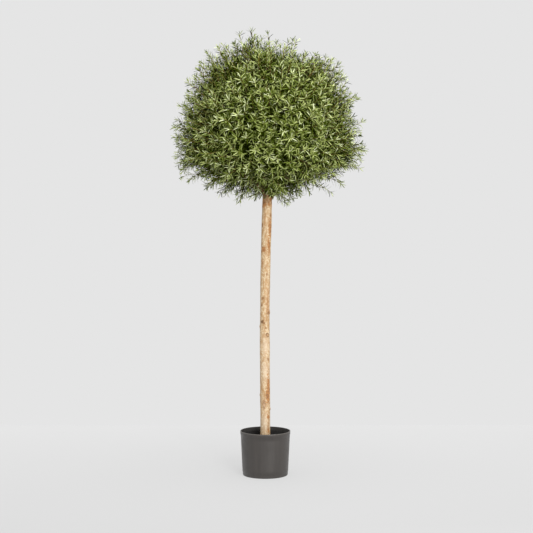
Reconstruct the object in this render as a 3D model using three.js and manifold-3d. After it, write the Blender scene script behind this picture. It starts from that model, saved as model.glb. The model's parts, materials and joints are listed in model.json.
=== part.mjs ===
/**
 * A standard lollipop topiary, made as an artificial tree: a bare round pole set in the filler of
 * a nursery pot, ten short boughs round its head and a dense dome of narrow leaves.
 *
 * Millimetres, +Z up, front towards -Y. The origin is the centre of the pot's flat underside.
 */
import * as THREE from 'three';
import { mergeVertices } from 'three/addons/utils/BufferGeometryUtils.js';
import Module from 'manifold-3d';

const wasm = await Module();
wasm.setup();

// ---- Driving dimensions ----

const CLEARANCE = 0.3; // between neighbouring pieces
const WELD = 1e-4;
const SHORTEST_EDGE = 0.02;
const FULL_TURN = 2 * Math.PI;
const GOLDEN_ANGLE = Math.PI * (3 - Math.sqrt(5));
const UP = new THREE.Vector3(0, 0, 1);

const POT = {
  height: 150,
  baseRadius: 76.5,
  rimRadius: 83.6,
  wall: 2.2,
  floor: 3.5,
  edgeRound: 3, // round of the bottom edge
  footHeight: 14, // the foot is set in a little below this height
  footInset: 0.7,
  bandHeight: 13, // the band under the rim stands proud of the wall
  bandProud: 0.9,
  step: 1, // height of the slopes at the foot and the band
  lipRound: 0.8,
  sides: 40,
};

const FILL = { belowRim: 30 };

const TRUNK = {
  footRadius: 17.4,
  radius: 16.5,
  headRadius: 14.6,
  headHeight: 1000, // where the boughs fork
  straightHeight: POT.height, // straight and upright in the pot
  bow: -3.3, // sideways bow to the left at mid height
  lean: 8, // sideways offset of the head to the right
  leanBack: 3, // offset of the head away from the front
  flareShare: 0.3, // share of the length over which the foot's flare fades
  taperFrom: 0.85, // the head tapers from this share of the length
  swell: 0.45, // height of the bumps of the peeled wood
  swellsAlong: [9, 23], // how fast the bumps turn along the pole
  swellsAround: 2,
  sides: 14,
  rings: 20,
};

const CROWN = {
  level: 1100, // height of the widest level
  radius: 306,
  rise: 376, // from the widest level to the top, without the lobes
  drop: 172, // from the widest level to the underside
  coreScale: 0.83, // the dense layer inside the leaves, as a share of the reach
  coreThickness: 7,
  coreDetail: 4,
  coreTufts: 16, // how far the tufts of the dense layer stand out of it at most
  coreSeed: 3,
  footHole: 78, // radius left open round the trunk, where the boughs rise into the crown
};
const CROWN_CENTRE = new THREE.Vector3(TRUNK.lean, TRUNK.leanBack, CROWN.level);

// The crown's main lobes: azimuth and elevation of each in degrees as seen from its centre, half
// width in degrees, and how far it stands out as a share of the reach.
const LOBES = [
  [180, 66, 24, 0.07], // high left shoulder
  [180, 79, 9, 0.035], // the top
  [0, 50, 12, 0.07], // right shoulder
  [0, 80, 10, -0.03], // dip right of the top
  [180, 21, 9, 0.035],
  [180, 5, 9, 0.06], // left flank
  [0, 2, 16, 0.08], // right flank, the widest
  [0, 25, 9, 0.03],
  [0, -14, 5, -0.05],
  [180, -17, 5, -0.04],
];
const SMALL_LOBES = { count: 22, halfWidth: 17, swell: 0.05, seed: 11 };

// The masses of foliage: one on top and two rings, each fed by its own bough.
const RINGS = [
  { ring: 'lower', count: 5, elevation: -6, turn: 18, exitFrom: 942, exitTo: 958, rise: 50 },
  { ring: 'upper', count: 4, elevation: 41, turn: 45, exitFrom: 973, exitTo: 987, rise: 58 },
];
const BOUGH = { rootRadius: 6.6, tipRadius: 4.4, reach: 0.56, rootDepth: 12, sides: 6, rings: 5 };
const LEADER = { rootRadius: 8.5, tipRadius: 5, reach: 0.62 };

const CELL_GAP = 1.2; // between the spaces of two masses
const CORE_CLEAR = 2; // between a core and a bough that passes it
const STEM = { tipRadius: 3.2, sides: 6, rings: 3, sink: 4 };
const FAN = { count: 2, spread: 24, rootRadius: 3, tipRadius: 2, from: 0.35, to: 0.8 };
const SHOOT = {
  upperCount: 68,
  lowerCount: 33,
  rootRadius: 4,
  tipRadius: 3,
  sink: 5,
  share: 0.55, // of the depth of the leaves that the woody shoot takes up
  wander: 0.22,
  lift: 0.12,
  seed: 5,
};
const SPRIG = { every: 7, extra: 0.07 }; // shoots that stand out of the clipped outline
const LEAF = {
  perShoot: 5,
  shortest: 52,
  longest: 98,
  widthShare: 0.28,
  thicknessShare: 0.05,
  widest: 0.52, // place of the widest point along the leaf
  rootDepth: 1.1, // how far the root runs past the middle of its shoot
  firstAt: 0.5, // place of the lowest leaf along its shoot
  lastAt: 0.97,
  lowestAngle: 74, // between the shoot and its lowest leaf, in degrees
  highestAngle: 18,
  angleFall: 1.4, // power by which the angle closes from the lowest leaf to the highest
  shortfall: 0.05, // how far short of the outline a leaf may end, as a share of the reach
  flattest: 0.35, // a leaf that runs flatter than this to the outline doesn't get longer
  limbClear: 13, // from the middle of a leaf or shoot to the surface of a limb
  limbSteps: 16,
};

const COLOURS = {
  pot: { color: 0x55514d, roughness: 0.55, metalness: 0 },
  fill: { color: 0x2b2927, roughness: 0.95, metalness: 0 },
  trunk: { color: 0xd6b88f, roughness: 0.7, metalness: 0 },
  bough: { color: 0x6b5a3f, roughness: 0.8, metalness: 0 },
  foliage: { color: 0x6f8f3c, roughness: 0.6, metalness: 0 },
};

// ---- Helpers ----

/** Seeded random numbers from 0 to 1. */
function seededRandom(seed) {
  let state = seed >>> 0;
  return () => {
    state = (state + 0x6d2b79f5) >>> 0;
    let mixed = Math.imul(state ^ (state >>> 15), state | 1);
    mixed ^= mixed + Math.imul(mixed ^ (mixed >>> 7), mixed | 61);
    return ((mixed ^ (mixed >>> 14)) >>> 0) / 2 ** 32;
  };
}

/** The unit vector at an azimuth and elevation in degrees. */
function towards(azimuth, elevation) {
  const turn = THREE.MathUtils.degToRad(azimuth);
  const tilt = THREE.MathUtils.degToRad(elevation);
  const across = Math.cos(tilt);
  return new THREE.Vector3(across * Math.cos(turn), across * Math.sin(turn), Math.sin(tilt));
}

/** A closed geometry as a solid that can be joined and cut. */
function solidOf(geometry) {
  const bare = geometry.clone();
  bare.deleteAttribute('normal');
  bare.deleteAttribute('uv');
  const welded = mergeVertices(bare, WELD);
  return new wasm.Manifold(new wasm.Mesh({
    numProp: 3,
    vertProperties: new Float32Array(welded.attributes.position.array),
    triVerts: new Uint32Array(welded.index.array),
  }));
}

/** The largest body of a solid, freed of edges too short to matter, as a geometry. */
function geometryOf(solid) {
  const bodies = solid.simplify(SHORTEST_EDGE).decompose();
  const largest = bodies.reduce((best, body) => (body.volume() > best.volume() ? body : best));
  const mesh = largest.getMesh();
  const geometry = new THREE.BufferGeometry();
  geometry.setAttribute('position', new THREE.BufferAttribute(new Float32Array(mesh.vertProperties), 3));
  geometry.setIndex(new THREE.BufferAttribute(new Uint32Array(mesh.triVerts), 1));
  geometry.computeVertexNormals();
  return geometry;
}

/** One named sub-part with a material of its own. */
function piece(name, geometry, look) {
  const mesh = new THREE.Mesh(geometry, new THREE.MeshStandardMaterial(look));
  mesh.name = name;
  return mesh;
}

/** A round limb: a cylinder whose rings are set along a curve, with its own radius at each. */
function limb(curve, radiusAt, sides, rings) {
  const geometry = new THREE.CylinderGeometry(1, 1, 1, sides, rings);
  const place = geometry.attributes.position;
  const point = new THREE.Vector3();
  const first = new THREE.Vector3(1, 0, 0);
  for (let i = 0; i < place.count; i += 1) {
    const along = place.getY(i) + 0.5;
    const centre = curve.getPoint(along);
    const tangent = curve.getTangent(along);
    const side = first.clone().addScaledVector(tangent, -first.dot(tangent)).normalize();
    const other = new THREE.Vector3().crossVectors(tangent, side);
    const radius = radiusAt(along, Math.atan2(place.getX(i), place.getZ(i)));
    point.copy(centre);
    point.addScaledVector(side, place.getZ(i) * radius).addScaledVector(other, place.getX(i) * radius);
    place.setXYZ(i, point.x, point.y, point.z);
  }
  return geometry;
}

/** A straight tapering twig with few sides. */
function twig(from, to, rootRadius, tipRadius, sides) {
  const length = from.distanceTo(to);
  const geometry = new THREE.CylinderGeometry(tipRadius, rootRadius, length, sides, 1);
  geometry.translate(0, length / 2, 0);
  const heading = to.clone().sub(from).normalize();
  geometry.applyQuaternion(new THREE.Quaternion().setFromUnitVectors(new THREE.Vector3(0, 1, 0), heading));
  geometry.translate(from.x, from.y, from.z);
  return geometry;
}

// ---- Pot and filler ----

/** The pot's plain outer radius at a height. */
function potRadius(z) {
  return THREE.MathUtils.lerp(POT.baseRadius, POT.rimRadius, z / POT.height);
}

/** The thin-walled pot: an inset foot, a tapering wall and a slightly proud band at the rim. */
function potGeometry() {
  const bandFoot = POT.height - POT.bandHeight;
  const foot = POT.baseRadius - POT.footInset;
  const rim = potRadius(POT.height) + POT.bandProud;
  const inside = (z) => potRadius(z) - POT.wall;
  const profile = [
    [0, 0],
    [foot - POT.edgeRound, 0],
    [foot - POT.edgeRound * (1 - Math.SQRT1_2), POT.edgeRound * (1 - Math.SQRT1_2)],
    [foot, POT.edgeRound],
    [potRadius(POT.footHeight) - POT.footInset, POT.footHeight - POT.step],
    [potRadius(POT.footHeight), POT.footHeight],
    [potRadius(bandFoot), bandFoot],
    [potRadius(bandFoot) + POT.bandProud, bandFoot + POT.step],
    [rim, POT.height - POT.lipRound],
    [rim - POT.lipRound, POT.height],
    [inside(POT.height) + POT.lipRound, POT.height],
    [inside(POT.height), POT.height - POT.lipRound],
    [inside(POT.floor), POT.floor],
    [0, POT.floor],
  ];
  return lathed(profile);
}

/** The set filler, with the socket that holds the foot of the pole. */
function fillGeometry() {
  const wallAt = (z) => potRadius(z) - POT.wall - CLEARANCE;
  const bottom = POT.floor + CLEARANCE;
  const top = POT.height - FILL.belowRim;
  const socket = (TRUNK.footRadius + TRUNK.swell + CLEARANCE) / Math.cos(Math.PI / POT.sides);
  return lathed([
    [socket, bottom],
    [wallAt(bottom), bottom],
    [wallAt(top), top],
    [socket, top],
    [socket, bottom],
  ]);
}

/** A profile of [radius, height] points turned round the upright axis. */
function lathed(profile) {
  const geometry = new THREE.LatheGeometry(profile.map(([r, z]) => new THREE.Vector2(r, z)), POT.sides);
  return geometry.rotateX(Math.PI / 2);
}

// ---- Trunk ----

/** The pole's middle line: upright in the pot, then bowed left and leaning right at the head. */
class PoleLine extends THREE.Curve {
  getPoint(along, target = new THREE.Vector3()) {
    const foot = POT.floor + CLEARANCE;
    const z = THREE.MathUtils.lerp(foot, TRUNK.headHeight, along);
    const free = Math.max(0, (z - TRUNK.straightHeight) / (TRUNK.headHeight - TRUNK.straightHeight));
    const bow = TRUNK.bow * Math.sin(Math.PI * free) ** 2;
    return target.set(bow + TRUNK.lean * free ** 2, TRUNK.leanBack * free ** 2, z);
  }
}
const poleLine = new PoleLine();

/** The pole's radius: a little flare at the foot, slight bumps, and a taper near the head. */
function poleRadius(along, around) {
  const flare = Math.max(0, 1 - along / TRUNK.flareShare);
  const taper = Math.max(0, (along - TRUNK.taperFrom) / (1 - TRUNK.taperFrom));
  const [slow, quick] = TRUNK.swellsAlong;
  const bumps = Math.sin(slow * along + TRUNK.swellsAround * around) * Math.sin(quick * along + 1);
  return TRUNK.radius + (TRUNK.footRadius - TRUNK.radius) * flare
    + (TRUNK.headRadius - TRUNK.radius) * taper + TRUNK.swell * bumps;
}

/** The point on the pole's middle line at a height. */
function poleAt(z) {
  const foot = POT.floor + CLEARANCE;
  return poleLine.getPoint((z - foot) / (TRUNK.headHeight - foot));
}

/** The pole, or with extra radius the space that limbs have to stay out of. */
function poleGeometry(extra = 0) {
  const radiusAt = (along, around) => poleRadius(along, around) + extra;
  return limb(poleLine, radiusAt, TRUNK.sides, TRUNK.rings);
}

// ---- Crown shape ----

/** Every lobe of the crown: the named ones and the small seeded ones, evenly spread. */
function crownLobes() {
  const random = seededRandom(SMALL_LOBES.seed);
  const small = Array.from({ length: SMALL_LOBES.count }, (unused, i) => {
    const sine = 1 - (2 * (i + 0.5)) / SMALL_LOBES.count;
    const azimuth = THREE.MathUtils.radToDeg(i * GOLDEN_ANGLE);
    const elevation = THREE.MathUtils.radToDeg(Math.asin(sine));
    return [azimuth, elevation, SMALL_LOBES.halfWidth, SMALL_LOBES.swell * (2 * random() - 1)];
  });
  return [...LOBES, ...small].map(([azimuth, elevation, halfWidth, swell]) => ({
    heading: towards(azimuth, elevation),
    halfWidth: THREE.MathUtils.degToRad(halfWidth),
    swell,
  }));
}
const lobes = crownLobes();

/** How far the leaf tips reach from the crown's centre in a direction. */
function crownReach(heading) {
  const across = Math.hypot(heading.x, heading.y) / CROWN.radius;
  const upright = heading.z / (heading.z > 0 ? CROWN.rise : CROWN.drop);
  const swell = lobes.reduce(
    (sum, lobe) => sum + lobe.swell * Math.exp(-((heading.angleTo(lobe.heading) / lobe.halfWidth) ** 2)),
    0,
  );
  return (1 + swell) / Math.hypot(across, upright);
}

/** The point at a share of the crown's reach in a direction, less a depth. */
function crownPoint(heading, share, depth = 0) {
  return CROWN_CENTRE.clone().addScaledVector(heading, crownReach(heading) * share - depth);
}

/** The core's faces before they are cut: its smooth inside, or its outside with seeded tufts. */
function coreBody(depth, tufts, detail) {
  const random = seededRandom(CROWN.coreSeed);
  const sphere = new THREE.IcosahedronGeometry(1, detail);
  sphere.deleteAttribute('normal');
  sphere.deleteAttribute('uv');
  const geometry = mergeVertices(sphere);
  const place = geometry.attributes.position;
  for (let i = 0; i < place.count; i += 1) {
    const heading = new THREE.Vector3().fromBufferAttribute(place, i).normalize();
    const point = crownPoint(heading, CROWN.coreScale, depth - tufts * random() ** 2);
    place.setXYZ(i, point.x, point.y, point.z);
  }
  return solidOf(geometry);
}

// ---- Boughs and the spaces of the masses ----

/** One entry for each mass: its name, heading and the bough that feeds it. */
function planMasses() {
  const plans = [];
  for (const ring of RINGS) {
    for (let i = 0; i < ring.count; i += 1) {
      const azimuth = ring.turn + (360 * i) / ring.count;
      const order = ((2 * i) % ring.count) / (ring.count - 1);
      const height = THREE.MathUtils.lerp(ring.exitFrom, ring.exitTo, order);
      const outward = towards(azimuth, 0);
      const exit = poleAt(height).addScaledVector(outward, TRUNK.radius);
      const leaving = towards(azimuth, ring.rise);
      const heading = towards(azimuth, ring.elevation);
      const tip = exit.clone().lerp(crownPoint(heading, CROWN.coreScale), BOUGH.reach);
      plans.push({
        bough: `${ring.ring}_bough_${i + 1}`,
        mass: `${ring.ring}_foliage_${i + 1}`,
        heading,
        line: boughLine(exit.addScaledVector(leaving, -BOUGH.rootDepth), leaving, tip, heading),
        rootRadius: BOUGH.rootRadius,
        tipRadius: BOUGH.tipRadius,
      });
    }
  }
  const root = poleAt(TRUNK.headHeight).addScaledVector(UP, CLEARANCE);
  const top = root.clone().lerp(crownPoint(UP, CROWN.coreScale), LEADER.reach);
  plans.push({
    bough: 'leader_bough',
    mass: 'top_foliage',
    heading: UP,
    line: boughLine(root, UP, top, UP),
    rootRadius: LEADER.rootRadius,
    tipRadius: LEADER.tipRadius,
  });
  return plans;
}

/** A bough's middle line: it leaves one way and turns towards its mass. */
function boughLine(root, leaving, tip, heading) {
  const third = root.distanceTo(tip) / 3;
  const aim = tip.clone().sub(root).normalize().lerp(heading, 0.5).normalize();
  return new THREE.CubicBezierCurve3(
    root,
    root.clone().addScaledVector(leaving, third),
    tip.clone().addScaledVector(aim, -third),
    tip,
  );
}

/** A bough's tapering shape, or with extra radius the space round it. */
function boughShape(plan, extra = 0) {
  const radiusAt = (along) => THREE.MathUtils.lerp(plan.rootRadius, plan.tipRadius, along) + extra;
  return limb(plan.line, radiusAt, BOUGH.sides, BOUGH.rings);
}

/** One tapering bough, cut clear of the pole. */
function boughGeometry(plan, poleSpace) {
  return geometryOf(solidOf(boughShape(plan)).subtract(poleSpace));
}

/** The planes that part a mass's space from every other: each keeps what is nearer to the mass. */
function spaceOf(plan, plans) {
  const own = crownPoint(plan.heading, CROWN.coreScale);
  return plans.filter((other) => other !== plan).map((other) => {
    const theirs = crownPoint(other.heading, CROWN.coreScale);
    const normal = theirs.clone().sub(own).normalize();
    const middle = own.clone().lerp(theirs, 0.5).addScaledVector(normal, -CELL_GAP / 2);
    return new THREE.Plane().setFromNormalAndCoplanarPoint(normal, middle);
  });
}

/** Whether every point keeps to a space, with a margin. */
function isWithin(points, space, margin = 0) {
  return points.every((point) => space.every((plane) => plane.distanceToPoint(point) < -margin));
}

/** A block that fills the far side of a plane. */
function farSideOf(plane) {
  const size = 3 * CROWN.rise;
  const geometry = new THREE.BoxGeometry(size, size, size);
  geometry.translate(0, 0, size / 2);
  geometry.applyQuaternion(new THREE.Quaternion().setFromUnitVectors(UP, plane.normal));
  const foot = plane.projectPoint(CROWN_CENTRE, new THREE.Vector3());
  geometry.translate(foot.x, foot.y, foot.z);
  return solidOf(geometry);
}

/** The dense inner layer of the whole crown, open round the trunk and cut clear of the boughs. */
function coreShell(plans) {
  const hole = new THREE.CylinderGeometry(CROWN.footHole, CROWN.footHole, CROWN.drop, 12);
  hole.rotateX(Math.PI / 2).translate(TRUNK.lean, TRUNK.leanBack, CROWN.level - CROWN.drop);
  const inside = coreBody(CROWN.coreThickness, 0, CROWN.coreDetail - 1);
  const outside = coreBody(0, CROWN.coreTufts, CROWN.coreDetail);
  const shell = outside.subtract(inside).subtract(solidOf(hole));
  return plans.reduce((rest, plan) => rest.subtract(solidOf(boughShape(plan, CORE_CLEAR))), shell);
}

// ---- Shoots and leaves ----

/** One leaf of eight faces: its corners and its geometry, pointed at both ends. */
function leafAt(root, heading, faceNormal, length) {
  const side = new THREE.Vector3().crossVectors(faceNormal, heading).normalize();
  const normal = new THREE.Vector3().crossVectors(heading, side);
  const frame = new THREE.Matrix4().makeBasis(heading, side, normal).setPosition(root);
  const geometry = new THREE.OctahedronGeometry(1);
  const place = geometry.attributes.position;
  for (let i = 0; i < place.count; i += 1) {
    const end = place.getX(i);
    const along = end === 0 ? LEAF.widest : (1 + end) / 2;
    place.setX(i, along * length);
  }
  geometry.scale(1, (LEAF.widthShare * length) / 2, (LEAF.thicknessShare * length) / 2);
  geometry.applyMatrix4(frame);
  const corners = Array.from({ length: place.count }, (unused, i) => (
    new THREE.Vector3().fromBufferAttribute(place, i)
  ));
  return { geometry, corners };
}

/** The headings of all shoots, spread evenly over the crown by the golden angle. */
function shootHeadings() {
  const halves = [
    { count: SHOOT.upperCount, reach: CROWN.rise, sign: 1 },
    { count: SHOOT.lowerCount, reach: CROWN.drop, sign: -1 },
  ];
  return halves.flatMap(({ count, reach, sign }) => Array.from({ length: count }, (unused, i) => {
    const sine = (i + 0.5) / count;
    const radius = CROWN.radius * Math.sqrt(1 - sine ** 2);
    const turn = i * GOLDEN_ANGLE;
    const height = sign * reach * sine;
    return new THREE.Vector3(radius * Math.cos(turn), radius * Math.sin(turn), height).normalize();
  }));
}

/** Whether a straight leaf or shoot stays clear of the pole and of every bough. */
function isClearOfLimbs(from, to, plans) {
  const steps = Array.from({ length: LEAF.limbSteps }, (unused, i) => (
    from.clone().lerp(to, i / (LEAF.limbSteps - 1))
  ));
  return steps.every((point) => {
    const besidePole = poleAt(Math.min(point.z, TRUNK.headHeight));
    return point.distanceTo(besidePole) > TRUNK.radius + LEAF.limbClear
      && plans.every((plan) => plan.line.getPoints(LEAF.limbSteps).every((middle) => (
        point.distanceTo(middle) > plan.rootRadius + LEAF.limbClear
      )));
  });
}

/** One woody shoot and its leaves, set round it in a spiral, as far as they keep to the space. */
function shootSolids(heading, index, space, plans, random) {
  const wander = new THREE.Vector3(random() - 0.5, random() - 0.5, random() - 0.5);
  const growth = heading.clone().addScaledVector(wander, 2 * SHOOT.wander).addScaledVector(UP, SHOOT.lift);
  growth.normalize();
  const stretch = index % SPRIG.every === 0 ? 1 + SPRIG.extra : 1;
  const reach = crownReach(heading) * stretch;
  const root = crownPoint(heading, CROWN.coreScale, SHOOT.sink);
  const depth = reach * (1 - CROWN.coreScale / stretch);
  const tip = root.clone().addScaledVector(growth, SHOOT.sink + depth * SHOOT.share);
  const turn = random() * FULL_TURN;
  if (!isWithin([root, tip], space, SHOOT.rootRadius) || !isClearOfLimbs(root, tip, plans)) return [];
  const solids = [solidOf(twig(root, tip, SHOOT.rootRadius, SHOOT.tipRadius, 3))];
  const across = new THREE.Vector3().crossVectors(growth, UP).normalize();
  for (let k = 0; k < LEAF.perShoot; k += 1) {
    const share = k / (LEAF.perShoot - 1);
    const along = THREE.MathUtils.lerp(LEAF.firstAt, LEAF.lastAt, share);
    const angle = THREE.MathUtils.lerp(LEAF.lowestAngle, LEAF.highestAngle, share ** LEAF.angleFall);
    const around = across.clone().applyAxisAngle(growth, turn + k * GOLDEN_ANGLE);
    const leafHeading = growth.clone().applyAxisAngle(around, THREE.MathUtils.degToRad(angle));
    const leafRoot = root.clone().lerp(tip, along);
    const outward = leafRoot.clone().sub(CROWN_CENTRE).normalize();
    const left = reach * (1 - LEAF.shortfall * random()) - leafRoot.distanceTo(CROWN_CENTRE);
    const wanted = left / Math.max(LEAF.flattest, leafHeading.dot(outward));
    const length = THREE.MathUtils.clamp(wanted, LEAF.shortest, LEAF.longest) + LEAF.rootDepth;
    leafRoot.addScaledVector(leafHeading, -LEAF.rootDepth);
    const leaf = leafAt(leafRoot, leafHeading, growth, length);
    const leafTip = leafRoot.clone().addScaledVector(leafHeading, length);
    const fits = isWithin(leaf.corners, space) && isClearOfLimbs(leafRoot, leafTip, plans);
    if (fits) solids.push(solidOf(leaf.geometry));
  }
  return solids;
}

/** A stem that carries on a bough's line and turns to the core. */
function stemShape(from, leaving, to, rootRadius) {
  const bend = from.clone().addScaledVector(leaving, from.distanceTo(to) / 3);
  const line = new THREE.QuadraticBezierCurve3(from, bend, to);
  const radiusAt = (along) => THREE.MathUtils.lerp(rootRadius, STEM.tipRadius, along);
  return limb(line, radiusAt, STEM.sides, STEM.rings);
}

/** The stem of a mass, which meets its bough's tip, and the twigs that fan out to the core. */
function stemSolids(plan, space, random) {
  const leaving = plan.line.getTangent(1);
  const from = plan.line.getPoint(1).addScaledVector(leaving, CLEARANCE);
  const to = crownPoint(plan.heading, CROWN.coreScale, CROWN.coreThickness - STEM.sink);
  const solids = [solidOf(stemShape(from, leaving, to, plan.tipRadius))];
  const across = new THREE.Vector3(1, 0, 0);
  across.addScaledVector(plan.heading, -across.dot(plan.heading)).normalize();
  const turn = random() * FULL_TURN;
  for (let k = 0; k < FAN.count; k += 1) {
    const fork = from.clone().lerp(to, THREE.MathUtils.lerp(FAN.from, FAN.to, k / FAN.count));
    const axis = across.clone().applyAxisAngle(plan.heading, turn + (k * FULL_TURN) / FAN.count);
    const heading = plan.heading.clone().applyAxisAngle(axis, THREE.MathUtils.degToRad(FAN.spread));
    const end = crownPoint(heading, CROWN.coreScale, CROWN.coreThickness - STEM.sink);
    if (!isWithin([fork, end], space, FAN.rootRadius)) continue;
    solids.push(solidOf(twig(fork, end, FAN.rootRadius, FAN.tipRadius, 3)));
  }
  return solids;
}

/** One mass of foliage: stem, twigs, core, shoots and leaves joined into one solid. */
function massGeometry(plan, plans, shell, index) {
  const random = seededRandom(SHOOT.seed + index);
  const space = spaceOf(plan, plans);
  const core = space.reduce((rest, plane) => rest.subtract(farSideOf(plane)), shell);
  const solids = [core, ...stemSolids(plan, space, random)];
  shootHeadings().forEach((heading, i) => {
    solids.push(...shootSolids(heading, i, space, plans, random));
  });
  return geometryOf(wasm.Manifold.union(solids));
}

// ---- Assembly ----

const topiary = new THREE.Group();
topiary.name = 'lollipop_topiary';

topiary.add(piece('pot', potGeometry(), COLOURS.pot));
topiary.add(piece('pot_fill', fillGeometry(), COLOURS.fill));
topiary.add(piece('trunk', poleGeometry(), COLOURS.trunk));

const crown = new THREE.Group();
const plans = planMasses();
const poleSpace = solidOf(poleGeometry(CLEARANCE / Math.cos(Math.PI / TRUNK.sides)));
const shell = coreShell(plans);
plans.forEach((plan, index) => {
  crown.add(piece(plan.bough, boughGeometry(plan, poleSpace), COLOURS.bough));
  crown.add(piece(plan.mass, massGeometry(plan, plans, shell, index), COLOURS.foliage));
});
topiary.add(crown);

export default topiary;
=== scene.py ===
"""Looks of a standard lollipop topiary, made as an artificial tree.

Metres, +Z up, front towards -Y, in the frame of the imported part. A peeled wooden pole stands in the
filler of a nursery pot. Ten boughs leave its head, and from them the crown grows by one rule: stems
carry the boughs on, branchlets leave the stems, twigs leave the branchlets and leafy shoots leave
the twigs. At every step the tips are spread over the crown by the golden angle, each limb grows
from the nearest limb of the step before, and the leaves end at the crown's outline.
"""

from __future__ import annotations

import json
import logging
from dataclasses import dataclass, field
from enum import Enum
from typing import Any

import bpy
import numpy as np
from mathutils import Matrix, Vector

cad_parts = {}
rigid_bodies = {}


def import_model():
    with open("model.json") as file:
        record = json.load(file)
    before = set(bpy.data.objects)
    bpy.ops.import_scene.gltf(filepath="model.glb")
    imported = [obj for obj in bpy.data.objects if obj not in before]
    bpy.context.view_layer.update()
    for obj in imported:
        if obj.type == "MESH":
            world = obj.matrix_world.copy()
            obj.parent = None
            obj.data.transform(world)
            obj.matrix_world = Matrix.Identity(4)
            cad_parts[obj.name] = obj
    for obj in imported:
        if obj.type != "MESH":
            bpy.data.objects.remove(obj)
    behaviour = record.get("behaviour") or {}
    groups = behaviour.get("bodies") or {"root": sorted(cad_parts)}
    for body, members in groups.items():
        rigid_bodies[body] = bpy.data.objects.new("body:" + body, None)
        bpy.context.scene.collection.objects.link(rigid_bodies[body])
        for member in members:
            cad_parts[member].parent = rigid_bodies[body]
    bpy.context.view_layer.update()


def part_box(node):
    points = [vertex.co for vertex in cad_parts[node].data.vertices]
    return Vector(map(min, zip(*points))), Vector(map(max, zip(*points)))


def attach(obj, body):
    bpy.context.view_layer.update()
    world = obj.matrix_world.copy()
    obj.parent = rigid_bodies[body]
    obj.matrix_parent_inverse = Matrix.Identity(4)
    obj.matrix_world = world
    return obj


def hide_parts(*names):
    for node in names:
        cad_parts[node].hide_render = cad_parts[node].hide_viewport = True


Array = np.ndarray
Tree = bpy.types.NodeTree
Socket = bpy.types.NodeSocket
Colour = tuple[float, float, float, float]
Triple = tuple[float, float, float]
Span = tuple[float, float]
Random = np.random.Generator
Feeds = dict[str | int, Any]

MM = 0.001
FULL_TURN = 2 * np.pi
GOLDEN_ANGLE = np.pi * (3 - np.sqrt(5))
EAST = np.array([1.0, 0.0, 0.0])
UP = np.array([0.0, 0.0, 1.0])
CROWN_ABOVE_HEAD = 100 * MM
ROOT_BODY = "root"

# A limb counts as steep when it rises more than this for each unit of its length.
STEEP = 0.7

# What keeps 32 bits of a number, how many values a noise has, and what hashes a lattice place.
LOW_WORD = 0xFFFFFFFF
NOISE_VALUES = 4096
HASH_PRIMES = np.array([73856093, 19349663, 83492791])

# A Mix node that blends colours, and its inputs for the share and for the two colours.
BLEND = {"data_type": "RGBA"}
SHARE, FIRST, SECOND = 0, 6, 7

log = logging.getLogger("topiary")


# ---- Vectors, colours and seeded numbers ----


def unit(vectors: Array) -> Array:
    """Vectors scaled to length one along the last axis."""
    return vectors / np.linalg.norm(vectors, axis=-1, keepdims=True)


def dot(first: Array, second: Array) -> Array:
    """Scalar products along the last axis, which is kept with length one."""
    return np.sum(first * second, axis=-1, keepdims=True)


def nearest(points: Array, others: Array) -> Array:
    """For each point, the number of the other point that is nearest to it."""
    return np.argmin(np.linalg.norm(points[:, None] - others[None], axis=-1), axis=1)


def spread_round(count: int) -> Array:
    """Angles spread evenly over a full turn, from zero."""
    return FULL_TURN * np.arange(count) / count


def towards(azimuth: float | Array, elevation: float | Array) -> Array:
    """Unit vectors by their angles.

    Args:
        azimuth: Degrees from +X towards +Y.
        elevation: Degrees above the level.

    Returns:
        A vector for each pair of angles.
    """
    turn, tilt = np.radians(azimuth), np.radians(elevation)
    level = np.cos(tilt)
    return np.stack([level * np.cos(turn), level * np.sin(turn), np.sin(tilt)], axis=-1)


def smooth_step(low: float, high: float, values: Array) -> Array:
    """Zero at low and one at high (low may be the larger), with the smooth cubic between."""
    share = np.clip((values - low) / (high - low), 0, 1)
    return share**2 * (3 - 2 * share)


def linear(hex_colour: str, gain: float = 1.0) -> Colour:
    """The linear colour of an sRGB hex value such as #85a04b.

    Args:
        hex_colour: Six hex digits after a #.
        gain: What the linear colour is multiplied by.

    Returns:
        Linear red, green and blue by the sRGB curve, and an alpha of one.
    """
    shares = np.array([int(hex_colour[i : i + 2], 16) / 255 for i in (1, 3, 5)])
    curved = np.where(shares <= 0.04045, shares / 12.92, ((shares + 0.055) / 1.055) ** 2.4)
    return (*(float(part) * gain for part in curved), 1.0)


def source_numbers(seed: int, count: int) -> Array:
    """The seeded numbers from 0 to 1 that the solids' small lobes were drawn with.

    Args:
        seed: Start of the 32-bit counter.
        count: How many numbers to draw.

    Returns:
        The numbers: each step adds a constant to the counter and mixes its bits by shifts and
        products, all modulo 2 to the 32.
    """
    state = seed
    drawn = []
    for _ in range(count):
        state = (state + 0x6D2B79F5) & LOW_WORD
        mixed = ((state ^ (state >> 15)) * (state | 1)) & LOW_WORD
        mixed ^= (mixed + ((mixed ^ (mixed >> 7)) * (mixed | 61))) & LOW_WORD
        drawn.append(((mixed ^ (mixed >> 14)) & LOW_WORD) / 2**32)
    return np.array(drawn)


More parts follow.
